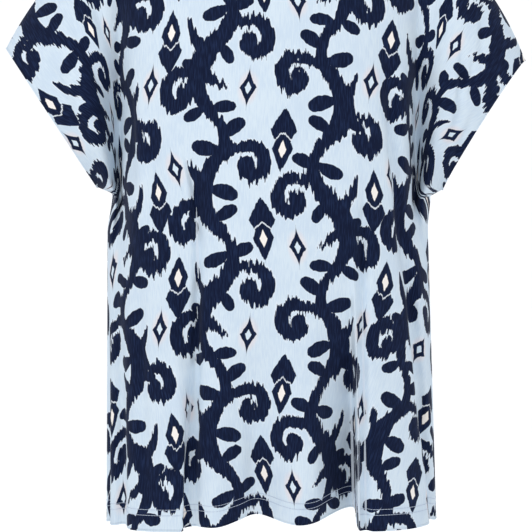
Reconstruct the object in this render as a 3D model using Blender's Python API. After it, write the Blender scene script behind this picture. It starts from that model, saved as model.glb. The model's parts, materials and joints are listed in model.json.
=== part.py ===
"""A loose jersey top with short sleeves cut in one with the front and the back, in the form it has on a wearer.

Metres, +Z up, -Y is the front. The origin is the middle of the neck, level with the tops of the shoulder seams.
Three pieces are cut and sewn: the front, the back and the neckband. Each is a wall of cloth, open inside, and
the walls stop a hair short of each other at the shoulder, underarm, side and neck seams.

Each panel is one net of points. Its columns run from the left edge (-1) through the middle (0) to the right
edge (+1). Its rows run from the neckline, shoulder and overarm down to the hem:
  0 to 1  from the shoulder and overarm to the low end of the cuff
  1 to 2  along the short seam under the sleeve
  2 to 3  from the underarm to the hem
"""

import math
from dataclasses import dataclass

import bmesh
import bpy
import numpy as np

WALL = 0.0016
SEAM_GAP = 0.0004

# Where the shoulder line and the neck lie, for both sides
SHOULDER_Y = 0.004
NECK_HALF = 0.098
NECK_ROUNDNESS = 0.75
SHOULDER_HALF = 0.168
SHOULDER_DROP = 0.030
UNDERARM_Z = -0.350

# The armhole fold: its column, its widths in columns towards the chest and the sleeve, and how far it runs
# down below the underarm, where it widens by a share
FOLD_COLUMN = 0.70
FOLD_CHEST_WIDTH = 0.075
FOLD_SLEEVE_WIDTH = 0.085
FOLD_TAIL = 0.13
FOLD_TAIL_SPREAD = 0.8

# The share of a chest column's length that lies above the short underarm seam
SLEEVE_SHARE = 0.94

# How square the body's sections are: 0 is an ellipse. They take over from the sleeves in this share of the
# way down to the hem, and the long folds die out from this column to the side seam
SQUARENESS = 0.03
BODY_TAKES_OVER = 0.12
CALM_COLUMN = 0.93

# Sleeves: how far a cuff stands open, front to back, and the fullness between fold and cuff
CUFF_OPEN = 0.042
SLEEVE_FULLNESS = 0.012

# The hem hangs lower towards the sides, and lifts where a fold draws it back
HEM_Z = -0.7118
HEM_QUARTER_DROP = 0.0030
HEM_LIFT = 0.30

NECKBAND_HEIGHT = 0.015
NECKBAND_WALL = 0.0022
NECKBAND_LEAN_SIDE = math.radians(42)
NECKBAND_LEAN_MIDDLE = math.radians(62)


@dataclass(frozen=True)
class Side:
    """The outline of one side, as seen from the front. Points are (x, z), with x counted away from the middle."""

    sleeve_tip: tuple
    cuff_low: tuple
    underarm: tuple
    overarm_bow: float
    cuff_hollow: float
    body_half: float
    hem_half: float
    hem_drop: float


@dataclass(frozen=True)
class Fold:
    """A soft trough that runs down a panel. Places and widths are in columns, depths and heights in metres."""

    at_hem: float
    at_top: float
    left_width: float
    right_width: float
    depth: float
    begins_z: float
    full_z: float


@dataclass(frozen=True)
class Panel:
    """What sets the front apart from the back."""

    name: str
    facing: float
    neck_drop: float
    chest_depth: float
    hem_depth: float
    armhole_fold: float
    folds: tuple


LEFT = Side(
    sleeve_tip=(0.3003, -0.1772),
    cuff_low=(0.1973, -0.3365),
    underarm=(0.1802, -0.3428),
    overarm_bow=0.0130,
    cuff_hollow=0.0035,
    body_half=0.185,
    hem_half=0.1885,
    hem_drop=0.0105,
)
RIGHT = Side(
    sleeve_tip=(0.2929, -0.1909),
    cuff_low=(0.1995, -0.3393),
    underarm=(0.1860, -0.3462),
    overarm_bow=0.0155,
    cuff_hollow=0.0080,
    body_half=0.1810,
    hem_half=0.1940,
    hem_drop=0.0065,
)

#    at hem  at top  left   right  depth   begins  full
FRONT_FOLDS = (
    Fold(-0.88, -0.90, 0.045, 0.045, 0.006, -0.40, -0.62),
    Fold(-0.69, -0.72, 0.060, 0.060, 0.008, -0.37, -0.66),
    Fold(-0.27, -0.33, 0.025, 0.070, 0.012, -0.30, -0.60),
    Fold(-0.05, -0.03, 0.100, 0.115, 0.040, -0.42, -0.74),
    Fold(0.273, 0.28, 0.115, 0.018, 0.058, -0.36, -0.74),
    Fold(0.83, 0.575, 0.050, 0.040, 0.009, -0.12, -0.32),
)
BACK_FOLDS = (
    Fold(-0.84, -0.86, 0.055, 0.055, 0.012, -0.38, -0.62),
    Fold(-0.55, -0.50, 0.080, 0.070, 0.020, -0.30, -0.70),
    Fold(-0.24, -0.26, 0.075, 0.085, 0.028, -0.26, -0.72),
    Fold(0.08, 0.04, 0.070, 0.070, 0.016, -0.34, -0.72),
    Fold(0.36, 0.30, 0.085, 0.075, 0.030, -0.24, -0.70),
    Fold(0.68, 0.62, 0.070, 0.060, 0.016, -0.34, -0.66),
)
FRONT = Panel("front", -1.0, 0.092, 0.130, 0.115, 0.045, FRONT_FOLDS)
BACK = Panel("back", 1.0, 0.024, 0.104, 0.106, 0.036, BACK_FOLDS)

# How many steps the net has in each part
SLEEVE_ROWS = 12
UNDERARM_ROWS = 2
BODY_ROWS = 13
NECK_COLUMNS = 10
CHEST_COLUMNS = 11
ARM_COLUMNS = 11
FOLD_CROWDING = 1.2
BAND_ROWS = 3
CURVE_STEPS = 200


def smooth(start, end, value):
    """0 before start, 1 after end, and a smooth rise between them."""
    share = np.clip((value - start) / (end - start), 0.0, 1.0)
    return share * share * (3.0 - 2.0 * share)


def across(turn):
    """How far out a body section reaches at this turn from the middle, as a share of its half-width."""
    return (1.0 + SQUARENESS) * np.sin(turn) + SQUARENESS * np.sin(3.0 * turn)


def forward(turn):
    """How far forward a body section reaches at this turn from the middle, as a share of its depth."""
    return (1.0 + SQUARENESS) * np.cos(turn) - SQUARENESS * np.cos(3.0 * turn)


def top_across(column):
    """How far out a column meets the shoulder line, or would if the neck were not cut out."""
    return SHOULDER_HALF * across(column * math.pi / 2.0) / across(FOLD_COLUMN * math.pi / 2.0)


def shoulder_line(x):
    """The height of the shoulder line, carried on over the neck in a smooth curve."""
    slope = SHOULDER_DROP / (SHOULDER_HALF - NECK_HALF)
    return np.where(x > NECK_HALF, -slope * (x - NECK_HALF), slope * (NECK_HALF**2 - x**2) / (2.0 * NECK_HALF))


def neck_end():
    """The column at which the neckline meets the shoulder seam."""
    table = np.linspace(0.0, FOLD_COLUMN, CURVE_STEPS)
    return float(np.interp(NECK_HALF, top_across(table), table))


def first_angle(panel, column):
    """Where a column starts on its quarter ellipse: 0 on the shoulder line, more where the neck is cut out."""
    x = top_across(column)
    line = shoulder_line(x)
    inside = np.maximum(1.0 - (x / NECK_HALF) ** 2, 0.0)
    cut = np.where(inside > 0.0, line + panel.neck_drop * inside**NECK_ROUNDNESS, 0.0)
    return np.arccos(1.0 - cut / (line - UNDERARM_Z))


def by_side(column, name, part=None):
    """A size of the side that each column is on."""
    left, right = getattr(LEFT, name), getattr(RIGHT, name)
    if part is not None:
        left, right = left[part], right[part]
    return np.where(column < 0.0, left, right)


def even_angle(first, depth, height, share):
    """The angle on each quarter ellipse that lies at a share of the length from its first angle to its end."""
    samples = np.linspace(0.0, 1.0, CURVE_STEPS // 4)[:, None, None]
    angle = first + (math.pi / 2.0 - first) * samples
    steps = np.hypot(depth * np.diff(np.sin(angle), axis=0), height * np.diff(np.cos(angle), axis=0))
    length = np.concatenate([np.zeros((1, *first.shape)), np.cumsum(steps, axis=0)])
    target = share * length[-1]
    index = np.clip(np.sum(length[1:-1] < target, axis=0), 0, len(steps) - 1)[None]
    start = np.take_along_axis(length, index, axis=0)[0]
    step = np.take_along_axis(steps, index, axis=0)[0]
    return np.take_along_axis(angle, index, axis=0)[0] + (angle[1] - angle[0]) * (target - start) / step


def chest(panel, column, row):
    """Points (x out from the middle) between the armhole folds, from the top edge to the underarm's level."""
    turn = np.abs(column) * math.pi / 2.0
    x_top = top_across(np.abs(column))
    z_top = shoulder_line(x_top)
    height = z_top - UNDERARM_Z
    depth = panel.chest_depth * forward(turn)
    share = np.clip(row, 0.0, 1.0) * SLEEVE_SHARE + np.clip(row - 1.0, 0.0, 1.0) * (1.0 - SLEEVE_SHARE)
    angle = even_angle(first_angle(panel, np.abs(column)), depth, height, share)
    down = 1.0 - np.cos(angle)
    x = x_top + (by_side(column, "body_half") * across(turn) - x_top) * smooth(0.0, 1.0, down)
    return x, SHOULDER_Y + panel.facing * depth * np.sin(angle), z_top - height * down


def cuff_edge(panel, side, row):
    """The net's outer edge on one side: down the cuff, then in along the seam under the sleeve."""
    run, rise = side.cuff_low[0] - side.sleeve_tip[0], side.cuff_low[1] - side.sleeve_tip[1]
    chord = math.hypot(run, rise)
    table = np.linspace(0.0, math.pi, CURVE_STEPS)
    steps = np.hypot(chord / 2.0 * np.diff(np.cos(table)), CUFF_OPEN * np.diff(np.sin(table)))
    length = np.concatenate([[0.0], np.cumsum(steps)])
    turn = np.interp(np.clip(row, 0.0, 1.0) * length[-1], length, table)
    share = (1.0 - np.cos(turn)) / 2.0
    hollow = side.cuff_hollow * np.sin(turn) / chord
    inward = np.clip(row - 1.0, 0.0, 1.0)
    x = side.sleeve_tip[0] + run * share + rise * hollow + (side.underarm[0] - side.cuff_low[0]) * inward
    z = side.sleeve_tip[1] + rise * share - run * hollow + (side.underarm[1] - side.cuff_low[1]) * inward
    return x, SHOULDER_Y + panel.facing * CUFF_OPEN * np.sin(turn), z


def sleeve(panel, column, row):
    """Points (x out from the middle) from an armhole fold to the cuff, down to the underarm's level."""
    out = np.clip((np.abs(column) - FOLD_COLUMN) / (1.0 - FOLD_COLUMN), 0.0, 1.0)
    start = chest(panel, np.where(column < 0.0, -FOLD_COLUMN, FOLD_COLUMN), row)
    ends = zip(cuff_edge(panel, LEFT, row), cuff_edge(panel, RIGHT, row))
    end = [np.where(column < 0.0, left, right) for left, right in ends]
    x, y, z = (a + (b - a) * out for a, b in zip(start, end))
    body = np.clip(row, 0.0, 1.0)
    run, drop = end[0] - start[0], start[2] - end[2]
    bow = 4.0 * by_side(column, "overarm_bow") * out * (1.0 - out) * (1.0 - body) / np.hypot(run, drop)
    fullness = SLEEVE_FULLNESS * np.sin(math.pi * out) * np.sin(math.pi * body)
    return x + bow * drop, y + panel.facing * fullness, z + bow * run


def armhole_fold(panel, column, row, z):
    """How far the cloth is drawn in, front to back, between sleeve and body."""
    below = np.clip((UNDERARM_Z - z) / FOLD_TAIL, 0.0, 1.0)
    wide = np.where(np.abs(column) < FOLD_COLUMN, FOLD_CHEST_WIDTH, FOLD_SLEEVE_WIDTH)
    wide = wide * (1.0 + FOLD_TAIL_SPREAD * below)
    near = np.exp(-(((np.abs(column) - FOLD_COLUMN) / wide) ** 2))
    return panel.armhole_fold * near * smooth(0.25, 1.0, row) * (1.0 - below) ** 2


def long_folds(panel, column, z):
    """How far the long folds draw the cloth in."""
    total = np.zeros(column.shape)
    down = np.clip((UNDERARM_Z - z) / (UNDERARM_Z - HEM_Z), -0.6, 1.0)
    for fold in panel.folds:
        middle = fold.at_top + (fold.at_hem - fold.at_top) * down
        wide = np.where(column < middle, fold.left_width, fold.right_width)
        shape = np.exp(-(((column - middle) / wide) ** 2))
        total = total + fold.depth * shape * smooth(-fold.begins_z, -fold.full_z, -z)
    return total


def net(panel, column, row):
    """The panel's outer face: a point for each place in the two arrays of columns and rows."""
    upper = np.minimum(row, 2.0)
    on_sleeve = np.abs(column) > FOLD_COLUMN
    parts = zip(sleeve(panel, column, upper), chest(panel, column, upper))
    x, y, z = (np.where(on_sleeve, a, b) for a, b in parts)

    down = np.clip(row - 2.0, 0.0, 1.0)
    turn = np.abs(column) * math.pi / 2.0
    at_top, at_hem = by_side(column, "body_half"), by_side(column, "hem_half")
    half = at_top + (at_hem - at_top) * down
    depth = panel.chest_depth + (panel.hem_depth - panel.chest_depth) * smooth(0.0, 1.0, down)
    settle = smooth(0.0, BODY_TAKES_OVER, down)
    x = x + (half * across(turn) - x) * settle
    y = y + (SHOULDER_Y + panel.facing * depth * forward(turn) - y) * settle
    side_drop = by_side(column, "hem_drop") * (1.0 - forward(turn))
    z = z + (HEM_Z - side_drop - HEM_QUARTER_DROP * np.sin(2.0 * turn) ** 2 - z) * down

    drawn = long_folds(panel, column, z) * (1.0 - smooth(CALM_COLUMN, 1.0, np.abs(column)))
    lean_x, lean_y = across(turn) / half, forward(turn) / depth
    size = np.hypot(lean_x, lean_y)
    x = x - drawn * lean_x / size
    y = y - panel.facing * (drawn * lean_y / size + armhole_fold(panel, column, row, z))
    z = z + HEM_LIFT * drawn * down**2
    return np.stack([np.sign(column) * x, y, z], axis=-1)


def unit(vectors):
    return vectors / np.linalg.norm(vectors, axis=-1, keepdims=True)


def face_normals(points, facing):
    """Unit vectors that point out of the cloth, one for each point of a net."""
    return unit(facing * np.cross(np.gradient(points, axis=0), np.gradient(points, axis=1)))


def steps_inward(points):
    """For a seam along the first line of points, unit vectors across it, into the panel."""
    along = unit(np.gradient(points[0], axis=0))
    inward = points[1] - points[0]
    return unit(inward - np.sum(inward * along, axis=-1, keepdims=True) * along)


def neck_frame(points, facing, on_neck):
    """For each neckline point of a panel: the way the neckband rises from it, and the way it faces."""
    edge = points[0, on_neck]
    along = unit(np.gradient(edge, axis=0))
    level = np.stack([-along[:, 1], along[:, 0], np.zeros(len(along))], axis=-1)
    level = unit(level * -facing)
    middle = 1.0 - np.abs(edge[:, 0:1]) / NECK_HALF
    lean = NECKBAND_LEAN_SIDE + (NECKBAND_LEAN_MIDDLE - NECKBAND_LEAN_SIDE) * smooth(0.0, 1.0, middle)
    rise = level * np.cos(lean) + np.array([0.0, 0.0, 1.0]) * np.sin(lean)
    rise = unit(rise - np.sum(rise * along, axis=-1, keepdims=True) * along)
    return rise, unit(np.cross(rise, along) * facing)


def places_of_net():
    """The columns and rows of the net's points, as two arrays with a line for each row.

    Along the neckline the columns are even along its curve. From there down they spread until they are even
    across the chest.
    """
    upper = np.linspace(0.0, 1.0, SLEEVE_ROWS + 1)
    under = np.linspace(1.0, 2.0, UNDERARM_ROWS + 1)[1:]
    body = np.linspace(2.0, 3.0, BODY_ROWS + 1)[1:]
    row = np.concatenate([upper, under, body])[:, None]

    table = neck_end() * np.sin(np.linspace(0.0, math.pi / 2.0, CURVE_STEPS))
    curve = np.stack(chest(FRONT, table[None], np.zeros((1, CURVE_STEPS))))[:, 0]
    steps = np.linalg.norm(np.diff(curve, axis=1), axis=0)
    length = np.concatenate([[0.0], np.cumsum(steps)])
    even = np.linspace(0.0, 1.0, NECK_COLUMNS + 1)
    at_neck = np.interp(even * length[-1], length, table)
    neck = at_neck + (even * neck_end() - at_neck) * smooth(0.0, 0.5, row)
    chest_share = 1.0 - (1.0 - np.arange(1, CHEST_COLUMNS + 1) / CHEST_COLUMNS) ** FOLD_CROWDING
    shoulder = neck_end() + (FOLD_COLUMN - neck_end()) * chest_share
    arm_share = (np.arange(1, ARM_COLUMNS + 1) / ARM_COLUMNS) ** FOLD_CROWDING
    arm = FOLD_COLUMN + (1.0 - FOLD_COLUMN) * arm_share
    outer = np.broadcast_to(np.concatenate([shoulder, arm]), (len(row), CHEST_COLUMNS + ARM_COLUMNS))
    right = np.concatenate([neck, outer], axis=1)
    column = np.concatenate([-right[:, :0:-1], right], axis=1)
    return column, np.broadcast_to(row, column.shape)


def wall_faces(lines, count, closed):
    """Faces of a wall whose outer net comes first and whose inner net follows, point for point."""
    total = lines * count
    number = np.arange(total).reshape(lines, count)
    if closed:
        number = np.concatenate([number, number[:, :1]], axis=1)
    faces = []
    for i in range(lines - 1):
        for j in range(number.shape[1] - 1):
            a, b, c, d = number[i, j], number[i, j + 1], number[i + 1, j + 1], number[i + 1, j]
            faces += [(d, c, b, a), (a + total, b + total, c + total, d + total)]
    rims = [number[0], number[-1, ::-1]]
    if not closed:
        rims += [number[::-1, 0], number[:, -1]]
    for rim in rims:
        for a, b in zip(rim[:-1], rim[1:]):
            faces.append((a, b, b + total, a + total))
    return faces


def add_wall(name, outer, inner, closed):
    """One object: a closed wall of cloth between two nets of the same size."""
    verts = np.concatenate([outer.reshape(-1, 3), inner.reshape(-1, 3)])
    faces = wall_faces(outer.shape[0], outer.shape[1], closed)
    mesh = bpy.data.meshes.new(name)
    mesh.from_pydata([tuple(map(float, v)) for v in verts], [], [tuple(map(int, f)) for f in faces])
    edit = bmesh.new()
    edit.from_mesh(mesh)
    bmesh.ops.recalc_face_normals(edit, faces=edit.faces)
    edit.to_mesh(mesh)
    edit.free()
    mesh.shade_smooth()
    made = bpy.data.objects.new(name, mesh)
    made.data.materials.append(jersey(name + "_jersey"))
    bpy.context.scene.collection.objects.link(made)
    return made


def jersey(name):
    """Plain pale-blue jersey."""
    made = bpy.data.materials.new(name)
    made.use_nodes = True
    shader = made.node_tree.nodes["Principled BSDF"]
    shader.inputs["Base Color"].default_value = (0.62, 0.74, 0.86, 1.0)
    shader.inputs["Roughness"].default_value = 0.85
    shader.inputs["Metallic"].default_value = 0.0
    return made


def share_facings(facings, faces_at_neck, on_neck, on_shoulder, under):
    """Make both panels face the same way along each seam, so that their cut edges lie flat to each other."""
    shared = unit(facings[0] + facings[1])
    for facing, at_neck in zip(facings, faces_at_neck):
        facing[0, on_shoulder] = shared[0, on_shoulder]
        facing[under, 0] = shared[under, 0]
        facing[under, -1] = shared[under, -1]
        facing[0, on_neck] = at_neck
    for corner in np.flatnonzero(on_neck & on_shoulder):
        level = unit(facings[0][0, corner] + facings[1][0, corner])
        facings[0][0, corner] = facings[1][0, corner] = level


def open_seams(points, on_shoulder, under):
    """The net with its sewn edges drawn back by half the gap at a seam."""
    opened = points.copy()
    opened[0, on_shoulder] += SEAM_GAP / 2.0 * steps_inward(points)[on_shoulder]
    from_left = points.transpose(1, 0, 2)
    for edge, lines in ((0, from_left), (-1, from_left[::-1])):
        opened[under, edge] += SEAM_GAP / 2.0 * steps_inward(lines)[under]
    return opened


def add_neckband(edges, rises, facings):
    """The band's ring runs along the front neckline from left to right, then back along the back neckline."""
    edge, rise, facing = (np.concatenate([front, back[-2:0:-1]]) for front, back in (edges, rises, facings))
    for corner in (0, len(edges[0]) - 1):
        rise[corner, 1] = 0.0
    rise = unit(rise)
    heights = SEAM_GAP + np.linspace(0.0, NECKBAND_HEIGHT, BAND_ROWS + 1)
    outer = np.stack([edge + height * rise for height in heights])
    add_wall("neckband", outer, outer - NECKBAND_WALL * facing, True)


def main():
    for old in list(bpy.data.objects):
        bpy.data.objects.remove(old)

    column, row = places_of_net()
    on_neck = np.abs(column[0]) <= neck_end() + 1e-9
    on_shoulder = np.abs(column[0]) >= neck_end() - 1e-9
    under = row[:, 0] >= 1.0

    panels = (FRONT, BACK)
    nets = [net(panel, column, row) for panel in panels]
    facings = [face_normals(points, panel.facing) for panel, points in zip(panels, nets)]
    necks = [neck_frame(points, panel.facing, on_neck) for panel, points in zip(panels, nets)]
    share_facings(facings, [face for _, face in necks], on_neck, on_shoulder, under)

    for panel, points, facing in zip(panels, nets, facings):
        outer = open_seams(points, on_shoulder, under)
        add_wall(panel.name, outer, outer - WALL * facing, False)
    add_neckband(
        [points[0, on_neck] for points in nets],
        [rise for rise, _ in necks],
        [facing[0, on_neck] for facing in facings],
    )


main()
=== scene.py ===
"""A loose jersey top with cut-on sleeves, printed in navy on pale blue, in the form it has on a wearer.

Metres, +Z up, -Y is the front. The origin is the middle of the neck, level with the shoulder seams' tops.
The front and the back are each one net of cloth. Its columns run from the left edge (-1) through the
middle (0) to the right edge (+1). Its rows run from the neckline, shoulder and overarm (0) to the low end
of the cuff (1), along the short seam under the sleeve (2), and down the side seam to the hem (3).
"""

from __future__ import annotations

import json
import logging
import math
import sys
from collections.abc import Callable
from dataclasses import dataclass
from enum import Enum

import bmesh
import bpy
import numpy as np
from mathutils import Matrix, Vector

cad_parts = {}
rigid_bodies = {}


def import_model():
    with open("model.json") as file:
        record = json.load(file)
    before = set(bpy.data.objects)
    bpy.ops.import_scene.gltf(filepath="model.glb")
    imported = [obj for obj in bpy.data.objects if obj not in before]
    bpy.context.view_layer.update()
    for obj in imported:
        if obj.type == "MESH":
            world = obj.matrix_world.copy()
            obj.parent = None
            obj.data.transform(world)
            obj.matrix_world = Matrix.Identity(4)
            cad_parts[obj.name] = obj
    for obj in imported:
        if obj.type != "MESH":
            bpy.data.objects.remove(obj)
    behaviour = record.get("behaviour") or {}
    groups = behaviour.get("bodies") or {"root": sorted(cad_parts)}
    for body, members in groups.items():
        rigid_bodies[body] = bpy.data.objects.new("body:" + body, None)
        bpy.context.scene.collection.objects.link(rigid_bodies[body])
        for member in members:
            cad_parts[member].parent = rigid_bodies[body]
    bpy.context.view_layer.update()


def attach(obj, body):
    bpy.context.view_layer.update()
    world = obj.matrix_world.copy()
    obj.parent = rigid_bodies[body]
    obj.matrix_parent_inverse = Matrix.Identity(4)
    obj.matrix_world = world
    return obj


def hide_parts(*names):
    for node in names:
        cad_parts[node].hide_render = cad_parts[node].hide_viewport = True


LOG = logging.getLogger("jersey_top")
MM = 0.001
SLACK = 1e-9
QUARTER = math.pi / 2.0

Array = np.ndarray
Colour = tuple[float, float, float, float]
Finish = bpy.types.Material
Pair = tuple[float, float]
Piece = bpy.types.Object
Socket = bpy.types.NodeSocket


def smooth(start: float, end: float, value: Array) -> Array:
    """A smooth rise of each value's share from 0 at start to 1 at end."""
    share = np.clip((value - start) / (end - start), 0.0, 1.0)
    return share * share * (3.0 - 2.0 * share)


def unit(vectors: Array) -> Array:
    """The vectors at length 1."""
    return vectors / np.maximum(np.linalg.norm(vectors, axis=-1, keepdims=True), 1e-12)


def running_length(points: Array, axis: int) -> Array:
    """How far each point of a net lies along its line.

    Args:
        points: The net.
        axis: 0 to measure down the columns, 1 to measure along the rows.

    Returns:
        The length from the first point of each line.
    """
    steps = np.linalg.norm(np.diff(points, axis=axis), axis=-1)
    start = np.zeros_like(np.take(steps, [0], axis=axis))
    return np.concatenate([start, np.cumsum(steps, axis=axis)], axis=axis)


def ring_of(front: Array, back: Array) -> Array:
    """One ring of a front line and a back line that share both ends, without its last point twice."""
    return np.concatenate([front, back[-2:0:-1]])


def closed(rings: Array) -> Array:
    """The rings, each with its first point again at its end."""
    return np.concatenate([rings, rings[:, :1]], axis=1)


@dataclass(frozen=True)
class Side:
    """The outline of one side, as seen from the front. Points are (x, z), with x away from the middle."""

    sleeve_tip: Pair
    cuff_low: Pair
    underarm: Pair
    overarm_bow: float
    cuff_hollow: float
    body_half: float
    hem_half: float
    hem_drop: float


@dataclass(frozen=True)
class Fold:
    """A long soft trough. Places and widths are in columns, the depth and the heights in metres.

    A lean of 1 draws it straight into the body, and less turns its floor towards the right side.
    """

    at_hem: float
    at_top: float
    left_width: float
    right_width: float
    depth: float
    begins_z: float
    full_z: float
    lean: float = 1.0


@dataclass(frozen=True)
class Crease:
    """A small trough laid over the long folds, along a path of (x, z) points as seen from the front.

    All sizes are in millimetres. A depth below 0 is a ridge. The two widths are to the left and the right
    of a path that runs down. It fades in and out over shares of its length.
    """

    path: tuple[Pair, ...]
    depth: float
    left_width: float
    right_width: float
    fade_in: float = 0.4
    fade_out: float = 0.4
    power: float = 2.0

    def drawn(self, x: Array, z: Array) -> Array:
        """How far the crease draws the cloth in.

        Args:
            x: Where the points of the cloth are, across.
            z: Their heights.

        Returns:
            The depth at each point, in metres.
        """
        knots = np.array(self.path) * MM
        lengths = np.hypot(*np.diff(knots, axis=0).T)
        starts = np.concatenate([[0.0], np.cumsum(lengths)])
        nearest = np.full(x.shape, np.inf)
        side, share = np.zeros(x.shape), np.zeros(x.shape)
        for a, b, length, start in zip(knots[:-1], knots[1:], lengths, starts):
            way = (b - a) / length
            on_it = np.clip((x - a[0]) * way[0] + (z - a[1]) * way[1], 0.0, length)
            away_x, away_z = x - a[0] - on_it * way[0], z - a[1] - on_it * way[1]
            far = np.hypot(away_x, away_z)
            closer = far < nearest
            nearest = np.where(closer, far, nearest)
            side = np.where(closer, away_z * way[0] - away_x * way[1], side)
            share = np.where(closer, (start + on_it) / starts[-1], share)
        wide = np.where(side > 0.0, self.right_width, self.left_width) * MM
        shape = self.depth * MM * np.exp(-((nearest / wide) ** self.power))
        return shape * smooth(0.0, self.fade_in, share) * smooth(0.0, self.fade_out, 1.0 - share)


@dataclass(frozen=True)
class PanelCut:
    """What sets the front apart from the back."""

    name: str
    facing: float
    neck_drop: float
    chest_depth: float
    hem_depth: float
    armhole_fold: float
    flat_area: float
    print_at: Pair
    folds: tuple[Fold, ...]
    creases: tuple[Crease, ...]


LEFT = Side((0.3003, -0.1772), (0.1973, -0.3365), (0.1802, -0.3428), 0.0130, 0.0035, 0.185, 0.1885, 0.0105)
RIGHT = Side((0.2929, -0.1909), (0.1995, -0.3393), (0.1860, -0.3462), 0.0155, 0.0080, 0.1810, 0.1940, 0.0065)

#    at hem  at top  left   right  depth   begins  full
FRONT_FOLDS = (
    Fold(-0.88, -0.90, 0.045, 0.045, 0.006, -0.40, -0.62),
    Fold(-0.69, -0.72, 0.060, 0.060, 0.008, -0.37, -0.66),
    Fold(-0.27, -0.33, 0.025, 0.070, 0.012, -0.30, -0.60),
    Fold(-0.05, -0.03, 0.100, 0.115, 0.040, -0.42, -0.74),
    Fold(0.273, 0.28, 0.115, 0.018, 0.058, -0.36, -0.74, -0.35),
    Fold(0.83, 0.575, 0.050, 0.040, 0.009, -0.12, -0.32),
)
BACK_FOLDS = (
    Fold(-0.84, -0.86, 0.055, 0.055, 0.012, -0.38, -0.62),
    Fold(-0.55, -0.50, 0.080, 0.070, 0.020, -0.30, -0.70),
    Fold(-0.24, -0.26, 0.075, 0.085, 0.028, -0.26, -0.72),
    Fold(0.08, 0.04, 0.070, 0.070, 0.016, -0.34, -0.72),
    Fold(0.36, 0.30, 0.085, 0.075, 0.030, -0.24, -0.70),
    Fold(0.68, 0.62, 0.070, 0.060, 0.016, -0.34, -0.66),
)
FRONT_CREASES = (
    Crease(((-100, -262), (-84, -336), (-82, -402), (-87, -567), (-92, -725)),
           10.5, 2.4, 12, 0.22, 0.01, 1.5),
    Crease(((-70, -300), (-71, -420), (-76, -560), (-78, -725)), -3, 6, 9, 0.4, 0.02),
    Crease(((105, -310), (106.5, -450), (108, -600), (112, -725)), 10, 11, 2.2, 0.25, 0.01, 1.5),
    Crease(((130, -200), (137, -290), (143, -330), (148, -410), (152, -470)), 5.5, 5, 8, 0.35, 0.4, 1.7),
    Crease(((152, -390), (160, -470), (170, -560), (176, -660)), 5, 4.5, 7, 0.35, 0.4, 1.8),
    Crease(((-174, -440), (-171, -520), (-169, -600), (-170, -725)), 4, 4.5, 8, 0.35, 0.02, 1.8),
    Crease(((-142, -400), (-144, -500), (-141, -590), (-138, -700)), 3.5, 6, 6, 0.4, 0.3),
    Crease(((-160, -190), (-157, -250), (-155, -310), (-150, -370)), 6, 6, 7.5, 0.35, 0.4),
    Crease(((-126, -210), (-128, -290), (-133, -370), (-131, -430)), 3, 7, 10, 0.4, 0.5),
    Crease(((-236, -116), (-214, -162), (-190, -215), (-172, -262)), 4.2, 6, 9, 0.3, 0.4),
    Crease(((-215, -85), (-196, -125), (-180, -180)), 3.5, 6, 8),
    Crease(((-258, -172), (-236, -222), (-212, -272), (-196, -312)), 3, 7, 8),
    Crease(((240, -120), (239, -165), (236, -215)), 2.4, 4, 6),
    Crease(((216, -170), (215, -210), (212, -252), (200, -300)), 5.2, 4, 6, 0.3, 0.4),
    Crease(((228, -180), (227.5, -212), (224, -250)), 3, 3.5, 5, 0.35, 0.4),
    Crease(((232, -246), (218, -284), (204, -318)), 2.8, 4, 6),
    Crease(((198, -95), (190, -150), (178, -205)), 3.6, 7, 9),
    Crease(((48, -470), (52, -560), (50, -650), (52, -722)), -3, 10, 8, 0.4, 0.2),
    Crease(((-30, -560), (-31, -640), (-33, -722)), -2.5, 8, 9, 0.4, 0.2),
)
BACK_CREASES = (
    Crease(((-62, -120), (-66, -230), (-62, -340), (-58, -450)), 3, 10, 12),
    Crease(((70, -110), (78, -220), (74, -330), (82, -430)), 3.4, 12, 10),
    Crease(((-140, -200), (-134, -300), (-130, -400), (-124, -500)), 5, 6, 10),
    Crease(((146, -190), (140, -280), (143, -370), (138, -460)), 4.5, 8, 6),
    Crease(((-100, -470), (-102, -560), (-98, -640), (-100, -722)), 4, 5, 9, 0.3, 0.1, 1.7),
    Crease(((14, -420), (10, -520), (16, -620), (14, -722)), -3.5, 10, 8, 0.4, 0.2),
    Crease(((104, -430), (108, -530), (102, -630), (106, -722)), 4.5, 9, 5, 0.3, 0.1, 1.7),
    Crease(((166, -420), (170, -510), (166, -610), (170, -700)), 4, 6, 6, 0.4, 0.3),
    Crease(((-166, -460), (-170, -540), (-168, -640)), 4, 6, 6),
    Crease(((-232, -120), (-208, -170), (-188, -225), (-176, -275)), 4, 7, 8),
    Crease(((228, -120), (206, -175), (190, -230), (180, -280)), 3.6, 7, 7),
    Crease(((262, -170), (238, -225), (214, -280)), 2.8, 6, 6),
)
FRONT = PanelCut("front", -1.0, 0.092, 0.130, 0.115, 0.045, 0.39, (0.121, 0.034), FRONT_FOLDS, FRONT_CREASES)
BACK = PanelCut("back", 1.0, 0.024, 0.104, 0.106, 0.036, 0.38, (0.035, 0.160), BACK_FOLDS, BACK_CREASES)


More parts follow.
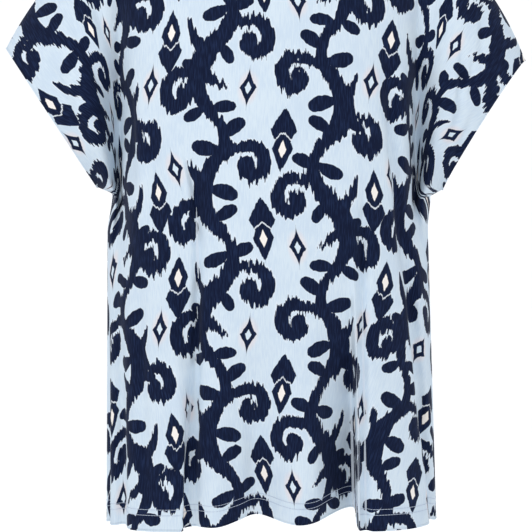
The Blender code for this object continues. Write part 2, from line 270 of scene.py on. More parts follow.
@dataclass(frozen=True)
class WornForm:
    """The form of a panel on a wearer: the same sizes and curves as its solid has, with creases added."""

    cut: PanelCut
    shoulder_y: float = 0.004
    neck_half: float = 0.098
    neck_roundness: float = 0.75
    shoulder_half: float = 0.168
    shoulder_drop: float = 0.030
    underarm_z: float = -0.350
    fold_column: float = 0.70
    fold_chest_width: float = 0.075
    fold_sleeve_width: float = 0.085
    fold_starts: float = 0.25
    fold_tail: float = 0.13
    fold_tail_spread: float = 0.8
    folds_top: float = -0.6
    sleeve_share: float = 0.94
    squareness: float = 0.03
    body_takes_over: float = 0.12
    calm_column: float = 0.93
    crease_column: float = 0.955
    cuff_open: float = 0.042
    sleeve_fullness: float = 0.012
    hem_z: float = -0.7118
    hem_quarter_drop: float = 0.0030
    hem_lift: float = 0.30
    curve_steps: int = 200

    def across(self, turn: Array) -> Array:
        """How far out a body section reaches at this turn from the middle, as a share of its half-width."""
        return (1.0 + self.squareness) * np.sin(turn) + self.squareness * np.sin(3.0 * turn)

    def forward(self, turn: Array) -> Array:
        """How far forward a body section reaches at this turn, as a share of its depth."""
        return (1.0 + self.squareness) * np.cos(turn) - self.squareness * np.cos(3.0 * turn)

    def top_across(self, column: Array) -> Array:
        """How far out a column meets the shoulder line, or would if the neck were not cut out."""
        return self.shoulder_half * self.across(column * QUARTER) / self.across(self.fold_column * QUARTER)

    def shoulder_line(self, x: Array) -> Array:
        """The height of the shoulder line, carried on over the neck in a smooth curve.

        Args:
            x: How far out from the middle.

        Returns:
            The heights.
        """
        slope = self.shoulder_drop / (self.shoulder_half - self.neck_half)
        over_neck = slope * (self.neck_half**2 - x**2) / (2.0 * self.neck_half)
        return np.where(x > self.neck_half, -slope * (x - self.neck_half), over_neck)

    def neck_end(self) -> float:
        """The column at which the neckline meets the shoulder seam."""
        table = np.linspace(0.0, self.fold_column, self.curve_steps)
        return float(np.interp(self.neck_half, self.top_across(table), table))

    def first_angle(self, column: Array) -> Array:
        """Where a column starts on its quarter ellipse.

        Args:
            column: The columns, without their sign.

        Returns:
            The angles: 0 on the shoulder line, and more where the neck is cut out.
        """
        x = self.top_across(column)
        line = self.shoulder_line(x)
        inside = np.maximum(1.0 - (x / self.neck_half) ** 2, 0.0)
        drop = np.where(inside > 0.0, line + self.cut.neck_drop * inside**self.neck_roundness, 0.0)
        return np.arccos(1.0 - drop / (line - self.underarm_z))

    @staticmethod
    def by_side(column: Array, name: str) -> Array:
        """The size of this name of the side that each column is on."""
        return np.where(column < 0.0, getattr(LEFT, name), getattr(RIGHT, name))

    def even_angle(self, first: Array, depth: Array, height: Array, share: Array) -> Array:
        """The angle on each quarter ellipse at a share of its length from the first angle to its end.

        Args:
            first: The angle at which each ellipse starts.
            depth: Its half-axis front to back.
            height: Its half-axis up and down.
            share: How far along it each point lies.

        Returns:
            The angles.
        """
        samples = np.linspace(0.0, 1.0, self.curve_steps // 4)[:, None, None]
        angle = first + (QUARTER - first) * samples
        steps = np.hypot(depth * np.diff(np.sin(angle), axis=0), height * np.diff(np.cos(angle), axis=0))
        length = np.concatenate([np.zeros((1, *first.shape)), np.cumsum(steps, axis=0)])
        target = share * length[-1]
        index = np.clip(np.sum(length[1:-1] < target, axis=0), 0, len(steps) - 1)[None]
        start, step, begin = (np.take_along_axis(of, index, axis=0)[0] for of in (length, steps, angle))
        return begin + (angle[1] - angle[0]) * (target - start) / step

    def chest(self, column: Array, row: Array) -> tuple[Array, ...]:
        """Points between the armhole folds, from the top edge to the underarm's level.

        Args:
            column: The columns.
            row: The rows, up to 2.

        Returns:
            The points' x, out from the middle, and their y and z.
        """
        turn = np.abs(column) * QUARTER
        x_top = self.top_across(np.abs(column))
        z_top = self.shoulder_line(x_top)
        height = z_top - self.underarm_z
        depth = self.cut.chest_depth * self.forward(turn)
        upper, under = np.clip(row, 0.0, 1.0), np.clip(row - 1.0, 0.0, 1.0)
        share = upper * self.sleeve_share + under * (1.0 - self.sleeve_share)
        angle = self.even_angle(self.first_angle(np.abs(column)), depth, height, share)
        down = 1.0 - np.cos(angle)
        x = x_top + (self.by_side(column, "body_half") * self.across(turn) - x_top) * smooth(0.0, 1.0, down)
        return x, self.shoulder_y + self.cut.facing * depth * np.sin(angle), z_top - height * down

    def cuff_edge(self, side: Side, row: Array) -> tuple[Array, ...]:
        """The net's outer edge on one side: down the cuff, then in along the seam under the sleeve.

        Args:
            side: The side's outline.
            row: The rows, up to 2.

        Returns:
            The points' x, out from the middle, and their y and z.
        """
        run, rise = side.cuff_low[0] - side.sleeve_tip[0], side.cuff_low[1] - side.sleeve_tip[1]
        chord = math.hypot(run, rise)
        table = np.linspace(0.0, math.pi, self.curve_steps)
        steps = np.hypot(chord / 2.0 * np.diff(np.cos(table)), self.cuff_open * np.diff(np.sin(table)))
        length = np.concatenate([[0.0], np.cumsum(steps)])
        turn = np.interp(np.clip(row, 0.0, 1.0) * length[-1], length, table)
        share = (1.0 - np.cos(turn)) / 2.0
        hollow = side.cuff_hollow * np.sin(turn) / chord
        inward = np.clip(row - 1.0, 0.0, 1.0)
        x = side.sleeve_tip[0] + run * share + rise * hollow + (side.underarm[0] - side.cuff_low[0]) * inward
        z = side.sleeve_tip[1] + rise * share - run * hollow + (side.underarm[1] - side.cuff_low[1]) * inward
        return x, self.shoulder_y + self.cut.facing * self.cuff_open * np.sin(turn), z

    def sleeve(self, column: Array, row: Array) -> tuple[Array, ...]:
        """Points from an armhole fold to the cuff, down to the underarm's level.

        Args:
            column: The columns.
            row: The rows, up to 2.

        Returns:
            The points' x, out from the middle, and their y and z.
        """
        out = np.clip((np.abs(column) - self.fold_column) / (1.0 - self.fold_column), 0.0, 1.0)
        start = self.chest(np.where(column < 0.0, -self.fold_column, self.fold_column), row)
        ends = zip(self.cuff_edge(LEFT, row), self.cuff_edge(RIGHT, row))
        end = [np.where(column < 0.0, left, right) for left, right in ends]
        x, y, z = (a + (b - a) * out for a, b in zip(start, end))
        body = np.clip(row, 0.0, 1.0)
        run, drop = end[0] - start[0], start[2] - end[2]
        bow = 4.0 * self.by_side(column, "overarm_bow") * out * (1.0 - out) * (1.0 - body)
        bow = bow / np.hypot(run, drop)
        fullness = self.sleeve_fullness * np.sin(math.pi * out) * np.sin(math.pi * body)
        return x + bow * drop, y + self.cut.facing * fullness, z + bow * run

    def armhole_fold(self, column: Array, row: Array, z: Array) -> Array:
        """How far the cloth is drawn in, front to back, between sleeve and body.

        Args:
            column: The columns.
            row: The rows.
            z: The points' heights.

        Returns:
            The depth of the fold at each point.
        """
        below = np.clip((self.underarm_z - z) / self.fold_tail, 0.0, 1.0)
        wide = np.where(np.abs(column) < self.fold_column, self.fold_chest_width, self.fold_sleeve_width)
        wide = wide * (1.0 + self.fold_tail_spread * below)
        near = np.exp(-(((np.abs(column) - self.fold_column) / wide) ** 2))
        return self.cut.armhole_fold * near * smooth(self.fold_starts, 1.0, row) * (1.0 - below) ** 2

    def long_folds(self, column: Array, z: Array) -> tuple[Array, Array]:
        """How far the long folds draw the cloth in.

        Args:
            column: The columns.
            z: The points' heights.

        Returns:
            The depth at each point, and the part of it that moves the cloth sideways.
        """
        total, sideways = np.zeros(column.shape), np.zeros(column.shape)
        down = np.clip((self.underarm_z - z) / (self.underarm_z - self.hem_z), self.folds_top, 1.0)
        for fold in self.cut.folds:
            middle = fold.at_top + (fold.at_hem - fold.at_top) * down
            wide = np.where(column < middle, fold.left_width, fold.right_width)
            shape = np.exp(-(((column - middle) / wide) ** 2))
            drawn = fold.depth * shape * smooth(-fold.begins_z, -fold.full_z, -z)
            total, sideways = total + drawn, sideways + drawn * fold.lean
        return total, sideways

    def net(self, column: Array, row: Array) -> Array:
        """The outer face of a panel without its small creases.

        Args:
            column: The columns, as a two-way array.
            row: The rows, of the same shape.

        Returns:
            A point for each place.
        """
        upper = np.minimum(row, 2.0)
        on_sleeve = np.abs(column) > self.fold_column
        parts = zip(self.sleeve(column, upper), self.chest(column, upper))
        x, y, z = (np.where(on_sleeve, a, b) for a, b in parts)

        down = np.clip(row - 2.0, 0.0, 1.0)
        turn = np.abs(column) * QUARTER
        at_top, at_hem = self.by_side(column, "body_half"), self.by_side(column, "hem_half")
        half = at_top + (at_hem - at_top) * down
        depth = self.cut.chest_depth + (self.cut.hem_depth - self.cut.chest_depth) * smooth(0.0, 1.0, down)
        settle = smooth(0.0, self.body_takes_over, down)
        x = x + (half * self.across(turn) - x) * settle
        y = y + (self.shoulder_y + self.cut.facing * depth * self.forward(turn) - y) * settle
        side_drop = self.by_side(column, "hem_drop") * (1.0 - self.forward(turn))
        z = z + (self.hem_z - side_drop - self.hem_quarter_drop * np.sin(2.0 * turn) ** 2 - z) * down

        calm = 1.0 - smooth(self.calm_column, 1.0, np.abs(column))
        drawn, sideways = (part * calm for part in self.long_folds(column, z))
        lean_x, lean_y = self.across(turn) / half, self.forward(turn) / depth
        size = np.hypot(lean_x, lean_y)
        x = x - sideways * lean_x / size
        y = y - self.cut.facing * (drawn * lean_y / size + self.armhole_fold(column, row, z))
        z = z + self.hem_lift * drawn * down**2
        return np.stack([np.sign(column) * x, y, z], axis=-1)

    def facings(self, points: Array) -> Array:
        """Unit vectors that point out of the cloth, one for each point of a net."""
        return unit(-self.cut.facing * np.cross(np.gradient(points, axis=0), np.gradient(points, axis=1)))

    def creased(self, points: Array, column: Array) -> Array:
        """The net with its small creases drawn in along the way it faces.

        Args:
            points: The net.
            column: The columns of its points.

        Returns:
            The creased net.
        """
        calm = 1.0 - smooth(self.crease_column, 1.0, np.abs(column))
        drawn = sum(crease.drawn(points[..., 0], points[..., 2]) for crease in self.cut.creases) * calm
        return points - drawn[..., None] * self.facings(points)


@dataclass(frozen=True)
class Stem:
    """A stroke of the print through (x, y, half-width) points in millimetres."""

    points: tuple[tuple[float, float, float], ...]
    steps: int = 4

    def path(self) -> Array:
        """The stroke as a smooth run of (x, y, half-width) points.

        Returns:
            The points, with all the given ones among them.
        """
        given = np.array(self.points, float)
        ends = np.vstack([2 * given[0] - given[1], given, 2 * given[-1] - given[-2]])
        t = np.linspace(0.0, 1.0, self.steps + 1)[:-1, None]
        parts = [
            0.5 * (2 * b + (c - a) * t + (2 * a - 5 * b + 4 * c - d) * t**2 + (3 * b - a - 3 * c + d) * t**3)
            for a, b, c, d in zip(ends[:-3], ends[1:-2], ends[2:-1], ends[3:])
        ]
        return np.vstack([*parts, given[-1:]])


@dataclass(frozen=True)
class Curl:
    """A stroke of the print that leaves a stem and rolls up. Its start and its sweep are in degrees."""

    x: float
    y: float
    start: float
    sweep: float
    reach: float = 18.5
    heart: float = 3.5
    stalk: float = 16.0
    stalk_share: float = 0.2
    roll: float = 3.6
    tall: float = 1.15
    steps: int = 25
    places: tuple[float, ...] = (0.0, 0.2, 0.5, 0.8, 0.93, 1.0)
    widths: tuple[float, ...] = (5.0, 5.8, 7.2, 6.6, 8.6, 8.0)

    def path(self) -> Array:
        """The stroke as a run of (x, y, half-width) points in millimetres.

        Returns:
            The points, from the stem to the curl's heart.
        """
        share = np.linspace(0.0, 1.0, self.steps + 1)
        angle = np.radians(self.start + self.sweep * share)
        radius = self.heart + (self.reach - self.heart) * (1.0 - share**self.roll)
        radius = radius + self.stalk * np.maximum(1.0 - share / self.stalk_share, 0.0) ** 2
        x, y = self.x + radius * np.cos(angle), self.y + self.tall * radius * np.sin(angle)
        return np.stack([x, y, np.interp(share, self.places, self.widths)], axis=1)


@dataclass(frozen=True)
class Leaf:
    """A leaf of the print, from its foot, in millimetres and degrees."""

    x: float
    y: float
    length: float
    width: float
    angle: float
    bend: float = 0.06
    places: tuple[float, ...] = (0.0, 0.18, 0.4, 0.62, 0.82, 1.0)
    widths: tuple[float, ...] = (0.14, 0.50, 0.86, 1.0, 0.80, 0.10)

    def path(self) -> Array:
        """The leaf as a run of (x, y, half-width) points.

        Returns:
            The points, from the leaf's foot to its tip.
        """
        share = np.array(self.places)
        angle = math.radians(self.angle)
        along, bend = share * self.length, self.bend * self.length * np.sin(math.pi * share)
        x = self.x + along * math.cos(angle) - bend * math.sin(angle)
        y = self.y + along * math.sin(angle) + bend * math.cos(angle)
        return np.stack([x, y, np.array(self.widths) * self.width / 2.0], axis=1)


@dataclass(frozen=True)
class Gem:
    """A small motif with a light heart. It points up, or down where way is -1, and leans. Millimetres."""

    x: float
    y: float
    way: float = 1.0
    lean: float = 0.0


@dataclass(frozen=True)
class Repeat:
    """The print's repeat: one leafy stem, and the same stem mirrored and set higher. Millimetres."""

    width: float = 250.0
    height: float = 270.0
    rise: float = 97.0
    shift: float = 6.4
    far: float = 25.0
    gem_box: Pair = (17.5, 31.0)
    bud_box: Pair = (20.0, 46.0)
    frayed: tuple[Stem | Curl, ...] = (
        Stem(((68, -4, 5), (50, 20, 6.5), (41, 46, 9.5), (52, 74, 11.5), (72, 96, 9.5), (82, 122, 6),
              (70, 148, 6.5), (52, 168, 10.5), (46, 192, 12), (56, 218, 9), (72, 242, 6), (68, 266, 5))),
        Stem(((54, 76, 8), (38, 94, 5), (32, 116, 1.2))),
        Stem(((50, 196, 8), (38, 212, 5), (30, 228, 1.2))),
        Stem(((44, 54, 8), (62, 44, 5), (77, 33, 1))),
        Curl(22, 36, 20, 335, stalk=12.0),
        Curl(103, 88, 165, -335),
        Curl(24, 160, 15, 330, 17.5),
        Curl(100, 222, 170, -340, 17.0),
    )
    leaves: tuple[Leaf, ...] = (
        Leaf(80, 121, 25, 14, 26), Leaf(78, 126, 31, 15, 200), Leaf(66, 84, 26, 12, -58),
        Leaf(56, 12, 28, 13, 4), Leaf(50, 16, 25, 13, 205), Leaf(54, 196, 33, 16, -18),
        Leaf(69, 238, 33, 16, 166), Leaf(70, 250, 30, 15, 38), Leaf(61, 160, 28, 14, 30),
        Leaf(46, 176, 22, 11, 198), Leaf(46, 60, 22, 12, 160),
    )
    gems: tuple[Gem, ...] = (Gem(14, 222, 1.0, 0.16), Gem(98, 34, 1.0, -0.10))
    buds: tuple[Gem, ...] = (Gem(10, 92, 1.0, -0.06), Gem(114, 150, -1.0, 0.08))

    def mirrored(self, x: Array, y: Array) -> tuple[Array, Array]:
        """The place of the same motif on the second stem."""
        return self.width - x, y + self.rise

    def wrapped(self, x: Array, y: Array) -> tuple[Array, Array]:
        """Steps on the print, by way of the nearest repeat."""
        return x - self.width * np.round(x / self.width), y - self.height * np.round(y / self.height)

    def distances(self, strokes: tuple[Stem | Curl | Leaf, ...]) -> Array:
        """How far every millimetre of the repeat lies from the nearest stroke, below 0 inside it.

        Args:
            strokes: The strokes of one stem.

        Returns:
            A two-way array, a line for each millimetre of height.
        """
        x, y = np.meshgrid(np.arange(self.width), np.arange(self.height))
        nearest = np.full(x.shape, self.far)
        for stroke in strokes:
            own = stroke.path()
            for path in (own, np.column_stack([*self.mirrored(own[:, 0], own[:, 1]), own[:, 2]])):
                for middle, half in zip((path[1:] + path[:-1]) / 2.0, (path[1:] - path[:-1]) / 2.0):
                    away_x, away_y = self.wrapped(x - middle[0], y - middle[1])
                    share = (away_x * half[0] + away_y * half[1]) / (half[0] ** 2 + half[1] ** 2 + SLACK)
                    share = np.clip(share, -1.0, 1.0)
                    far = np.hypot(away_x - share * half[0], away_y - share * half[1])
                    nearest = np.minimum(nearest, far - middle[2] - half[2] * share)
        return nearest

    def looked_up(self, field: Array, u: Array, v: Array) -> Array:
        """A field of the repeat at places on the cloth.

        Args:
            field: The field, a line for each millimetre of height.
            u: Millimetres across the cloth.
            v: Millimetres up the cloth.

        Returns:
            The field's value at each place, between its own points.
        """
        left, low = np.floor(u), np.floor(v)
        part_u, part_v = u - left, v - low
        i, j = low.astype(int), left.astype(int)
        tall, wide = field.shape
        near = [field[(i + a) % tall, (j + b) % wide] for a in (0, 1) for b in (0, 1)]
        lower = near[0] * (1.0 - part_u) + near[1] * part_u
        upper = near[2] * (1.0 - part_u) + near[3] * part_u
        return lower * (1.0 - part_v) + upper * part_v

    def from_nearest(
        self, motifs: tuple[Gem, ...], box: Pair, u: Array, v: Array
    ) -> tuple[Array, Array, Array]:
        """Steps from the nearest small motif, and how far inside its space each place lies.

        Args:
            motifs: The motifs of one stem.
            box: Half the width and half the height of the space that one takes.
            u: Millimetres across the cloth.
            v: Millimetres up the cloth.

        Returns:
            The steps across and up, the second along the way that the motif points, and a share that is 1 at
            the motif's middle and 0 from the edge of its space on.
        """
        best = np.full(u.shape, np.inf)
        across, up = np.zeros(u.shape), np.zeros(u.shape)
        for motif in motifs:
            second = self.mirrored(motif.x, motif.y)
            for (x, y), lean in (((motif.x, motif.y), motif.lean), (second, -motif.lean)):
                away_x, away_y = self.wrapped(u - x, v - y)
                away_x = away_x + lean * away_y
                far = np.maximum(np.abs(away_x) / box[0], np.abs(away_y) / box[1])
                closer = far < best
                best = np.where(closer, far, best)
                across = np.where(closer, away_x, across)
                up = np.where(closer, away_y * motif.way, up)
        return across, up, np.maximum(1.0 - best, 0.0)


class Face(Enum):
    """Which face of the cloth is seen: the printed one, or the paler one inside."""

    PRINTED = 0.0
    INSIDE = 1.0


@dataclass
class Printer:
    """Lays the print on the cloth, as values on its points that the jersey's finish reads."""

    repeat: Repeat
    finish: Finish

    def __post_init__(self) -> None:
        """Works out the repeat's two fields."""
        self.frayed = self.repeat.distances(self.repeat.frayed)
        self.leaves = self.repeat.distances(self.repeat.leaves)

    def lay(self, mesh: bpy.types.Mesh, cloth: Array, edge: Array, face: Array) -> None:
        """Writes the print's values on a mesh.

        Args:
            mesh: The mesh.
            cloth: Its points' places on the flat cloth, across and up, in metres.
            edge: How far each point lies inside the outer row of a hem's stitches, in metres.
            face: The face of the cloth that each point is on, as Face has it.
        """
        repeat = self.repeat
        u, v = cloth[:, 0] / MM, cloth[:, 1] / MM
        slips = (-repeat.shift, 0.0, repeat.shift)
        leaf = repeat.looked_up(self.leaves, u, v)
        gem_x, gem_y, gem_near = repeat.from_nearest(repeat.gems, repeat.gem_box, u, v)
        bud_x, bud_y, bud_near = repeat.from_nearest(repeat.buds, repeat.bud_box, u, v)
        self.write(mesh, "cloth", u, v, edge / MM)
        self.write(mesh, "frayed", *(repeat.looked_up(self.frayed, u, v + slip) for slip in slips))
        self.write(mesh, "gem", gem_x, gem_y, leaf)
        self.write(mesh, "bud", bud_x, bud_y, face)
        self.write(mesh, "near", gem_near, bud_near, face)

    @staticmethod
    def write(mesh: bpy.types.Mesh, name: str, *values: Array) -> None:
        """Keeps three numbers on each point of a mesh under a name."""
        made = mesh.attributes.new(name, "FLOAT_VECTOR", "POINT")
        made.data.foreach_set("vector", np.stack(values, axis=-1).astype(np.float32).ravel())


def from_srgb(red: float, green: float, blue: float) -> Colour:
    """A colour given as screen values from 0 to 255, as the shader takes it."""
    parts = [c / 255.0 for c in (red, green, blue)]
    return (*(p / 12.92 if p <= 0.04045 else ((p + 0.055) / 1.055) ** 2.4 for p in parts), 1.0)


def operation(kind: str) -> Callable[..., Value]:
    """A method for values that adds a maths node of this kind, with a second number where it needs one."""
    return lambda first, second=0.0: first.sheet.math(kind, first, second)


@dataclass(frozen=True)
class Value:
    """A number or a colour that a node gives. Numbers are reckoned with like plain ones."""

    sheet: NodeSheet
    socket: Socket

    __add__ = operation("ADD")
    __sub__ = operation("SUBTRACT")
    __mul__ = operation("MULTIPLY")
    __truediv__ = operation("DIVIDE")
    __pow__ = operation("POWER")
    __abs__ = operation("ABSOLUTE")
    sine = operation("SINE")
    least = operation("MINIMUM")
    most = operation("MAXIMUM")

    def __rsub__(self, other: float) -> Value:
        """A plain number less this one."""
        return self.sheet.math("SUBTRACT", other, self)

    def rise(self, start: float, end: float, low: float = 0.0, high: float = 1.0) -> Value:
        """A smooth change from low to high as this number goes from start to end."""
        inputs = {"Value": self, "From Min": start, "From Max": end, "To Min": low, "To Max": high}
        return self.sheet.node("MapRange", "Result", inputs, interpolation_type="SMOOTHSTEP")

    def blend(self, low: Value | Colour, high: Value | Colour) -> Value:
        """The colour that lies by this share between two, which are the Mix node's inputs 6 and 7."""
        return self.sheet.node("Mix", 2, {0: self, 6: low, 7: high}, data_type="RGBA")


class NodeSheet:
    """Adds nodes to one new material and joins them."""

    def __init__(self, name: str) -> None:
        """Starts a material with its shader alone.

        Args:
            name: The material's name.
        """
        self.material = bpy.data.materials.new(name)
        self.material.use_nodes = True
        self.tree = self.material.node_tree

    def feed(self, socket: Socket, value: Value | Colour | float) -> None:
        """Feeds a node's input.

        Args:
            socket: The input.
            value: A node's value to join it to, or a plain number or colour to set it to.
        """
        if isinstance(value, Value):
            self.tree.links.new(value.socket, socket)
        else:
            socket.default_value = value

    def node(self, kind: str, result: str | int, inputs: dict[str | int, object], **settings: str) -> Value:
        """Adds a node.

        Args:
            kind: Its type, without the words before it that all shader nodes share.
            result: The name or number of the output to give.
            inputs: What goes into its inputs, by their names or numbers.
            settings: Its own settings.

        Returns:
            The output's value.
        """
        node = self.tree.nodes.new("ShaderNode" + kind)
        for name, setting in settings.items():
            setattr(node, name, setting)
        for name, value in inputs.items():
            self.feed(node.inputs[name], value)
        return Value(self, node.outputs[result])

    def math(self, kind: str, first: Value | float, second: Value | float = 0.0) -> Value:
        """The result of an operation on one or two numbers."""
        return self.node("Math", 0, {0: first, 1: second}, operation=kind)

    def values(self, name: str) -> list[Value]:
        """The three numbers that the mesh keeps under a name."""
        split = self.node("SeparateXYZ", 0, {0: self.node("Attribute", "Vector", {}, attribute_name=name)})
        return [Value(self, socket) for socket in split.socket.node.outputs]

    def noise(self, x: Value, y: Value, cell: Pair, detail: float = 1.0, roughness: float = 0.5) -> Value:
        """A soft random number for each place.

        Args:
            x: The place across.
            y: The place up.
            cell: The width and the height of its largest cells.
            detail: How many finer layers it has.
            roughness: How strong they are.

        Returns:
            A number from about 0.25 to 0.75.
        """
        place = self.node("CombineXYZ", 0, {0: x / cell[0], 1: y / cell[1]})
        inputs = {"Vector": place, "Scale": 1.0, "Detail": detail, "Roughness": roughness}
        return self.node("TexNoise", "Fac", inputs)

    def bump(self, height: Value, relief: Pair, under: Value | None = None) -> Value:
        """A relief of this height, laid over another one.

        Args:
            height: The height.
            relief: How high 1 is, in metres, and the share of it that shows.
            under: The normal that it is laid over.

        Returns:
            The new normal.
        """
        inputs = {"Distance": relief[0], "Strength": relief[1], "Height": height}
        if under is not None:
            inputs["Normal"] = under
        return self.node("Bump", "Normal", inputs)

    def shaded(self, inputs: dict[str, object]) -> Finish:
        """Feeds the shader, which finishes the material.

        Args:
            inputs: What goes into the shader's inputs, by their names.

        Returns:
            The material.
        """
        for name, value in inputs.items():
            self.feed(self.tree.nodes["Principled BSDF"].inputs[name], value)
        return self.material


@dataclass(frozen=True)
class Lens:
    """The outline of a small motif, pointed above and below its middle. Millimetres."""

    middle: float
    tall: float
    half: float
    power: float

    def reach(self, up: Value) -> Value:
        """How far out the outline is at a height."""
        return (1.0 - abs(up - self.middle) / self.tall).most(0.0) ** self.power * self.half


@dataclass(frozen=True)
class PrintedJersey:
    """Soft matt jersey, printed in navy on pale blue with frayed edges. Sizes are in millimetres.

    A pair gives where a change starts and where it ends. A noise's cell, a heart and a halo are a width and
    a height, and a relief is a height in metres and the share of it that shows.
    """

    name: str = "printed_jersey"
    ground: Colour = from_srgb(208, 223, 237)
    ground_light: Colour = from_srgb(218, 231, 241)
    fringe: Colour = from_srgb(236, 242, 249)
    navy: Colour = from_srgb(7, 20, 49)
    navy_light: Colour = from_srgb(25, 40, 73)
    heart: Colour = from_srgb(250, 243, 236)
    blush: Colour = from_srgb(238, 222, 220)
    inside: Colour = from_srgb(222, 231, 241)
    ground_mottle: Pair = (0.38, 0.62)
    navy_mottle: Pair = (0.42, 0.72)
    fine_share: float = 0.6
    blush_share: float = 0.62
    fringe_edge: Pair = (5.4, 2.4)
    fringe_fray: float = 5.0
    fringe_share: float = 0.75
    leaf_fringe_less: float = 1.2
    inside_share: float = 0.80
    roughness: float = 0.82
    sheen: float = 0.04
    sheen_roughness: float = 0.5
    shine: float = 0.14
    streak: Pair = (3.4, 30.0)
    patch: Pair = (34.0, 40.0)
    fine: Pair = (1.3, 14.0)
    crumple: Pair = (11.0, 34.0)
    slip: float = 5.2
    slip_patches: Pair = (0.36, 0.58)
    least_slip: float = 0.45
    leaf_slip: float = 0.5
    gem_slip: float = 1.6
    bud_slip: float = 2.2
    frayed_edge: Pair = (0.95, 0.25)
    crisp_edge: Pair = (0.35, -0.35)
    heart_edge: Pair = (1.08, 0.92)
    own_space: Pair = (0.19, 0.22)
    gem_lens: Lens = Lens(0.0, 23.0, 9.4, 1.8)
    gem_heart: Pair = (3.6, 7.0)
    gem_halo: Pair = (13.0, 22.0)
    halo_edge: Pair = (1.0, 0.1)
    bud_lens: Lens = Lens(9.0, 25.0, 11.5, 0.85)
    bud_cup: Lens = Lens(-11.0, 24.0, 14.5, 0.8)
    bud_heart: tuple[float, float, float] = (4.3, 10.0, 10.0)
    cup_slope: float = 0.9
    cup_top: Pair = (-3.0, -4.0)
    slit_slope: float = 0.85
    slit_low: float = 8.5
    slit_edge: Pair = (1.3, 0.6)
    slit_ends: Pair = (10.5, 9.0)
    slit_share: float = 0.8
    wale: float = 0.9
    course: float = 0.75
    loop_turn: float = 3.0
    loop_share: float = 0.35
    stitch_gap: float = 6.4
    stitch_dent: float = 1.6
    crumple_relief: Pair = (0.0011, 0.35)
    dent_relief: Pair = (0.0003, 0.45)
    knit_relief: Pair = (0.00012, 0.25)

    def made(self) -> Finish:
        """The finish as a material.

        Returns:
            The material.
        """
        sheet = NodeSheet(self.name)
        u, v, edge = sheet.values("cloth")
        low, level, high = sheet.values("frayed")
        gem_x, gem_y, leaf = sheet.values("gem")
        bud_x, bud_y, face = sheet.values("bud")
        by_gem, by_bud = (near.rise(*self.own_space) for near in sheet.values("near")[:2])

        # The threads of the print have slipped up or down by a share from -1 to 1
        patch = sheet.noise(u, v, self.patch)
        pull = (sheet.noise(u, v, self.streak, detail=2.0, roughness=0.6) - 0.5) * self.slip
        pull = (pull * patch.rise(*self.slip_patches, self.least_slip)).least(1.0).most(-1.0)
        stem = level + ((high - level) * pull.most(0.0) + (low - level) * (pull * -1.0).most(0.0))

        stem_on, leaf_on = (far.rise(*self.frayed_edge) for far in (stem, leaf + pull * self.leaf_slip))
        gem_on, gem_heart, halo = (part * by_gem for part in self.gem(gem_x, gem_y + pull * self.gem_slip))
        bud_on, bud_heart, slit = (part * by_bud for part in self.bud(bud_x, bud_y + pull * self.bud_slip))
        navy_on = stem_on.most(leaf_on).most(gem_on.most(bud_on))

        fine = sheet.noise(u, v, self.fine)
        mottle = fine * self.fine_share + patch * (1.0 - self.fine_share)
        colour = mottle.rise(*self.ground_mottle).blend(self.ground, self.ground_light)
        colour = (halo * self.blush_share).blend(colour, self.blush)
        rim = (stem.least(leaf + self.leaf_fringe_less) + fine * self.fringe_fray).rise(*self.fringe_edge)
        colour = (rim * self.fringe_share).blend(colour, self.fringe)
        navy = fine.rise(*self.navy_mottle).blend(self.navy, self.navy_light)
        layers = (
            (navy_on, navy), (slit, self.fringe), (gem_heart, self.ground_light), (bud_heart, self.heart),
            (face * self.inside_share, self.inside),
        )
        for share, over in layers:
            colour = share.blend(colour, over)
        return sheet.shaded({
            "Base Color": colour, "Roughness": self.roughness, "Sheen Weight": self.sheen,
            "Sheen Roughness": self.sheen_roughness, "Specular IOR Level": self.shine,
            "Normal": self.relief(u, v, edge),
        })

    def gem(self, x: Value, y: Value) -> tuple[Value, ...]:
        """A small lozenge with long points.

        Args:
            x: Millimetres across from its middle.
            y: Millimetres up from its middle.

        Returns:
            Its navy ring, its light heart and the blush round it.
        """
        out, tall = abs(x), abs(y)
        ring = (out - self.gem_lens.reach(tall)).rise(*self.crisp_edge)
        heart = (out / self.gem_heart[0] + tall / self.gem_heart[1]).rise(*self.heart_edge)
        halo = (out / self.gem_halo[0]) ** 2.0 + (tall / self.gem_halo[1]) ** 2.0
        return ring, heart, halo.rise(*self.halo_edge)

    def bud(self, x: Value, y: Value) -> tuple[Value, ...]:
        """A bud on a heart-shaped cup.

        Args:
            x: Millimetres across from its middle.
            y: Millimetres up from its middle.

        Returns:
            Its navy, its light heart and the light slit between bud and cup.
        """
        out = abs(x)
        cup = self.bud_cup.reach(y) * (y - out * self.cup_slope).rise(*self.cup_top)
        full = (out - self.bud_lens.reach(y).most(cup)).rise(*self.crisp_edge)
        wide, tall, middle = self.bud_heart
        heart = (out / wide + abs(y - middle) / tall).rise(*self.heart_edge)
        slit = abs(y + self.slit_low - out * self.slit_slope).rise(*self.slit_edge)
        return full, heart, slit * out.rise(*self.slit_ends) * self.slit_share

    def relief(self, u: Value, v: Value, edge: Value) -> Value:
        """The knit's stitches, the cloth's soft unevenness and the dents under the rows of sewing.

        Args:
            u: Millimetres across the cloth.
            v: Millimetres up the cloth.
            edge: Millimetres inside the outer row of a hem's stitches.

        Returns:
            The normal.
        """
        sheet = u.sheet
        normal = sheet.bump(sheet.noise(u, v, self.crumple, detail=2.0), self.crumple_relief)
        rows = abs(edge).least(abs(edge - self.stitch_gap))
        normal = sheet.bump(rows.rise(0.0, self.stitch_dent), self.dent_relief, normal)
        rib = abs((u * (math.pi / self.wale)).sine())
        loop = (v * (math.tau / self.course) + rib * self.loop_turn).sine()
        return sheet.bump(rib + loop * self.loop_share, self.knit_relief, normal)


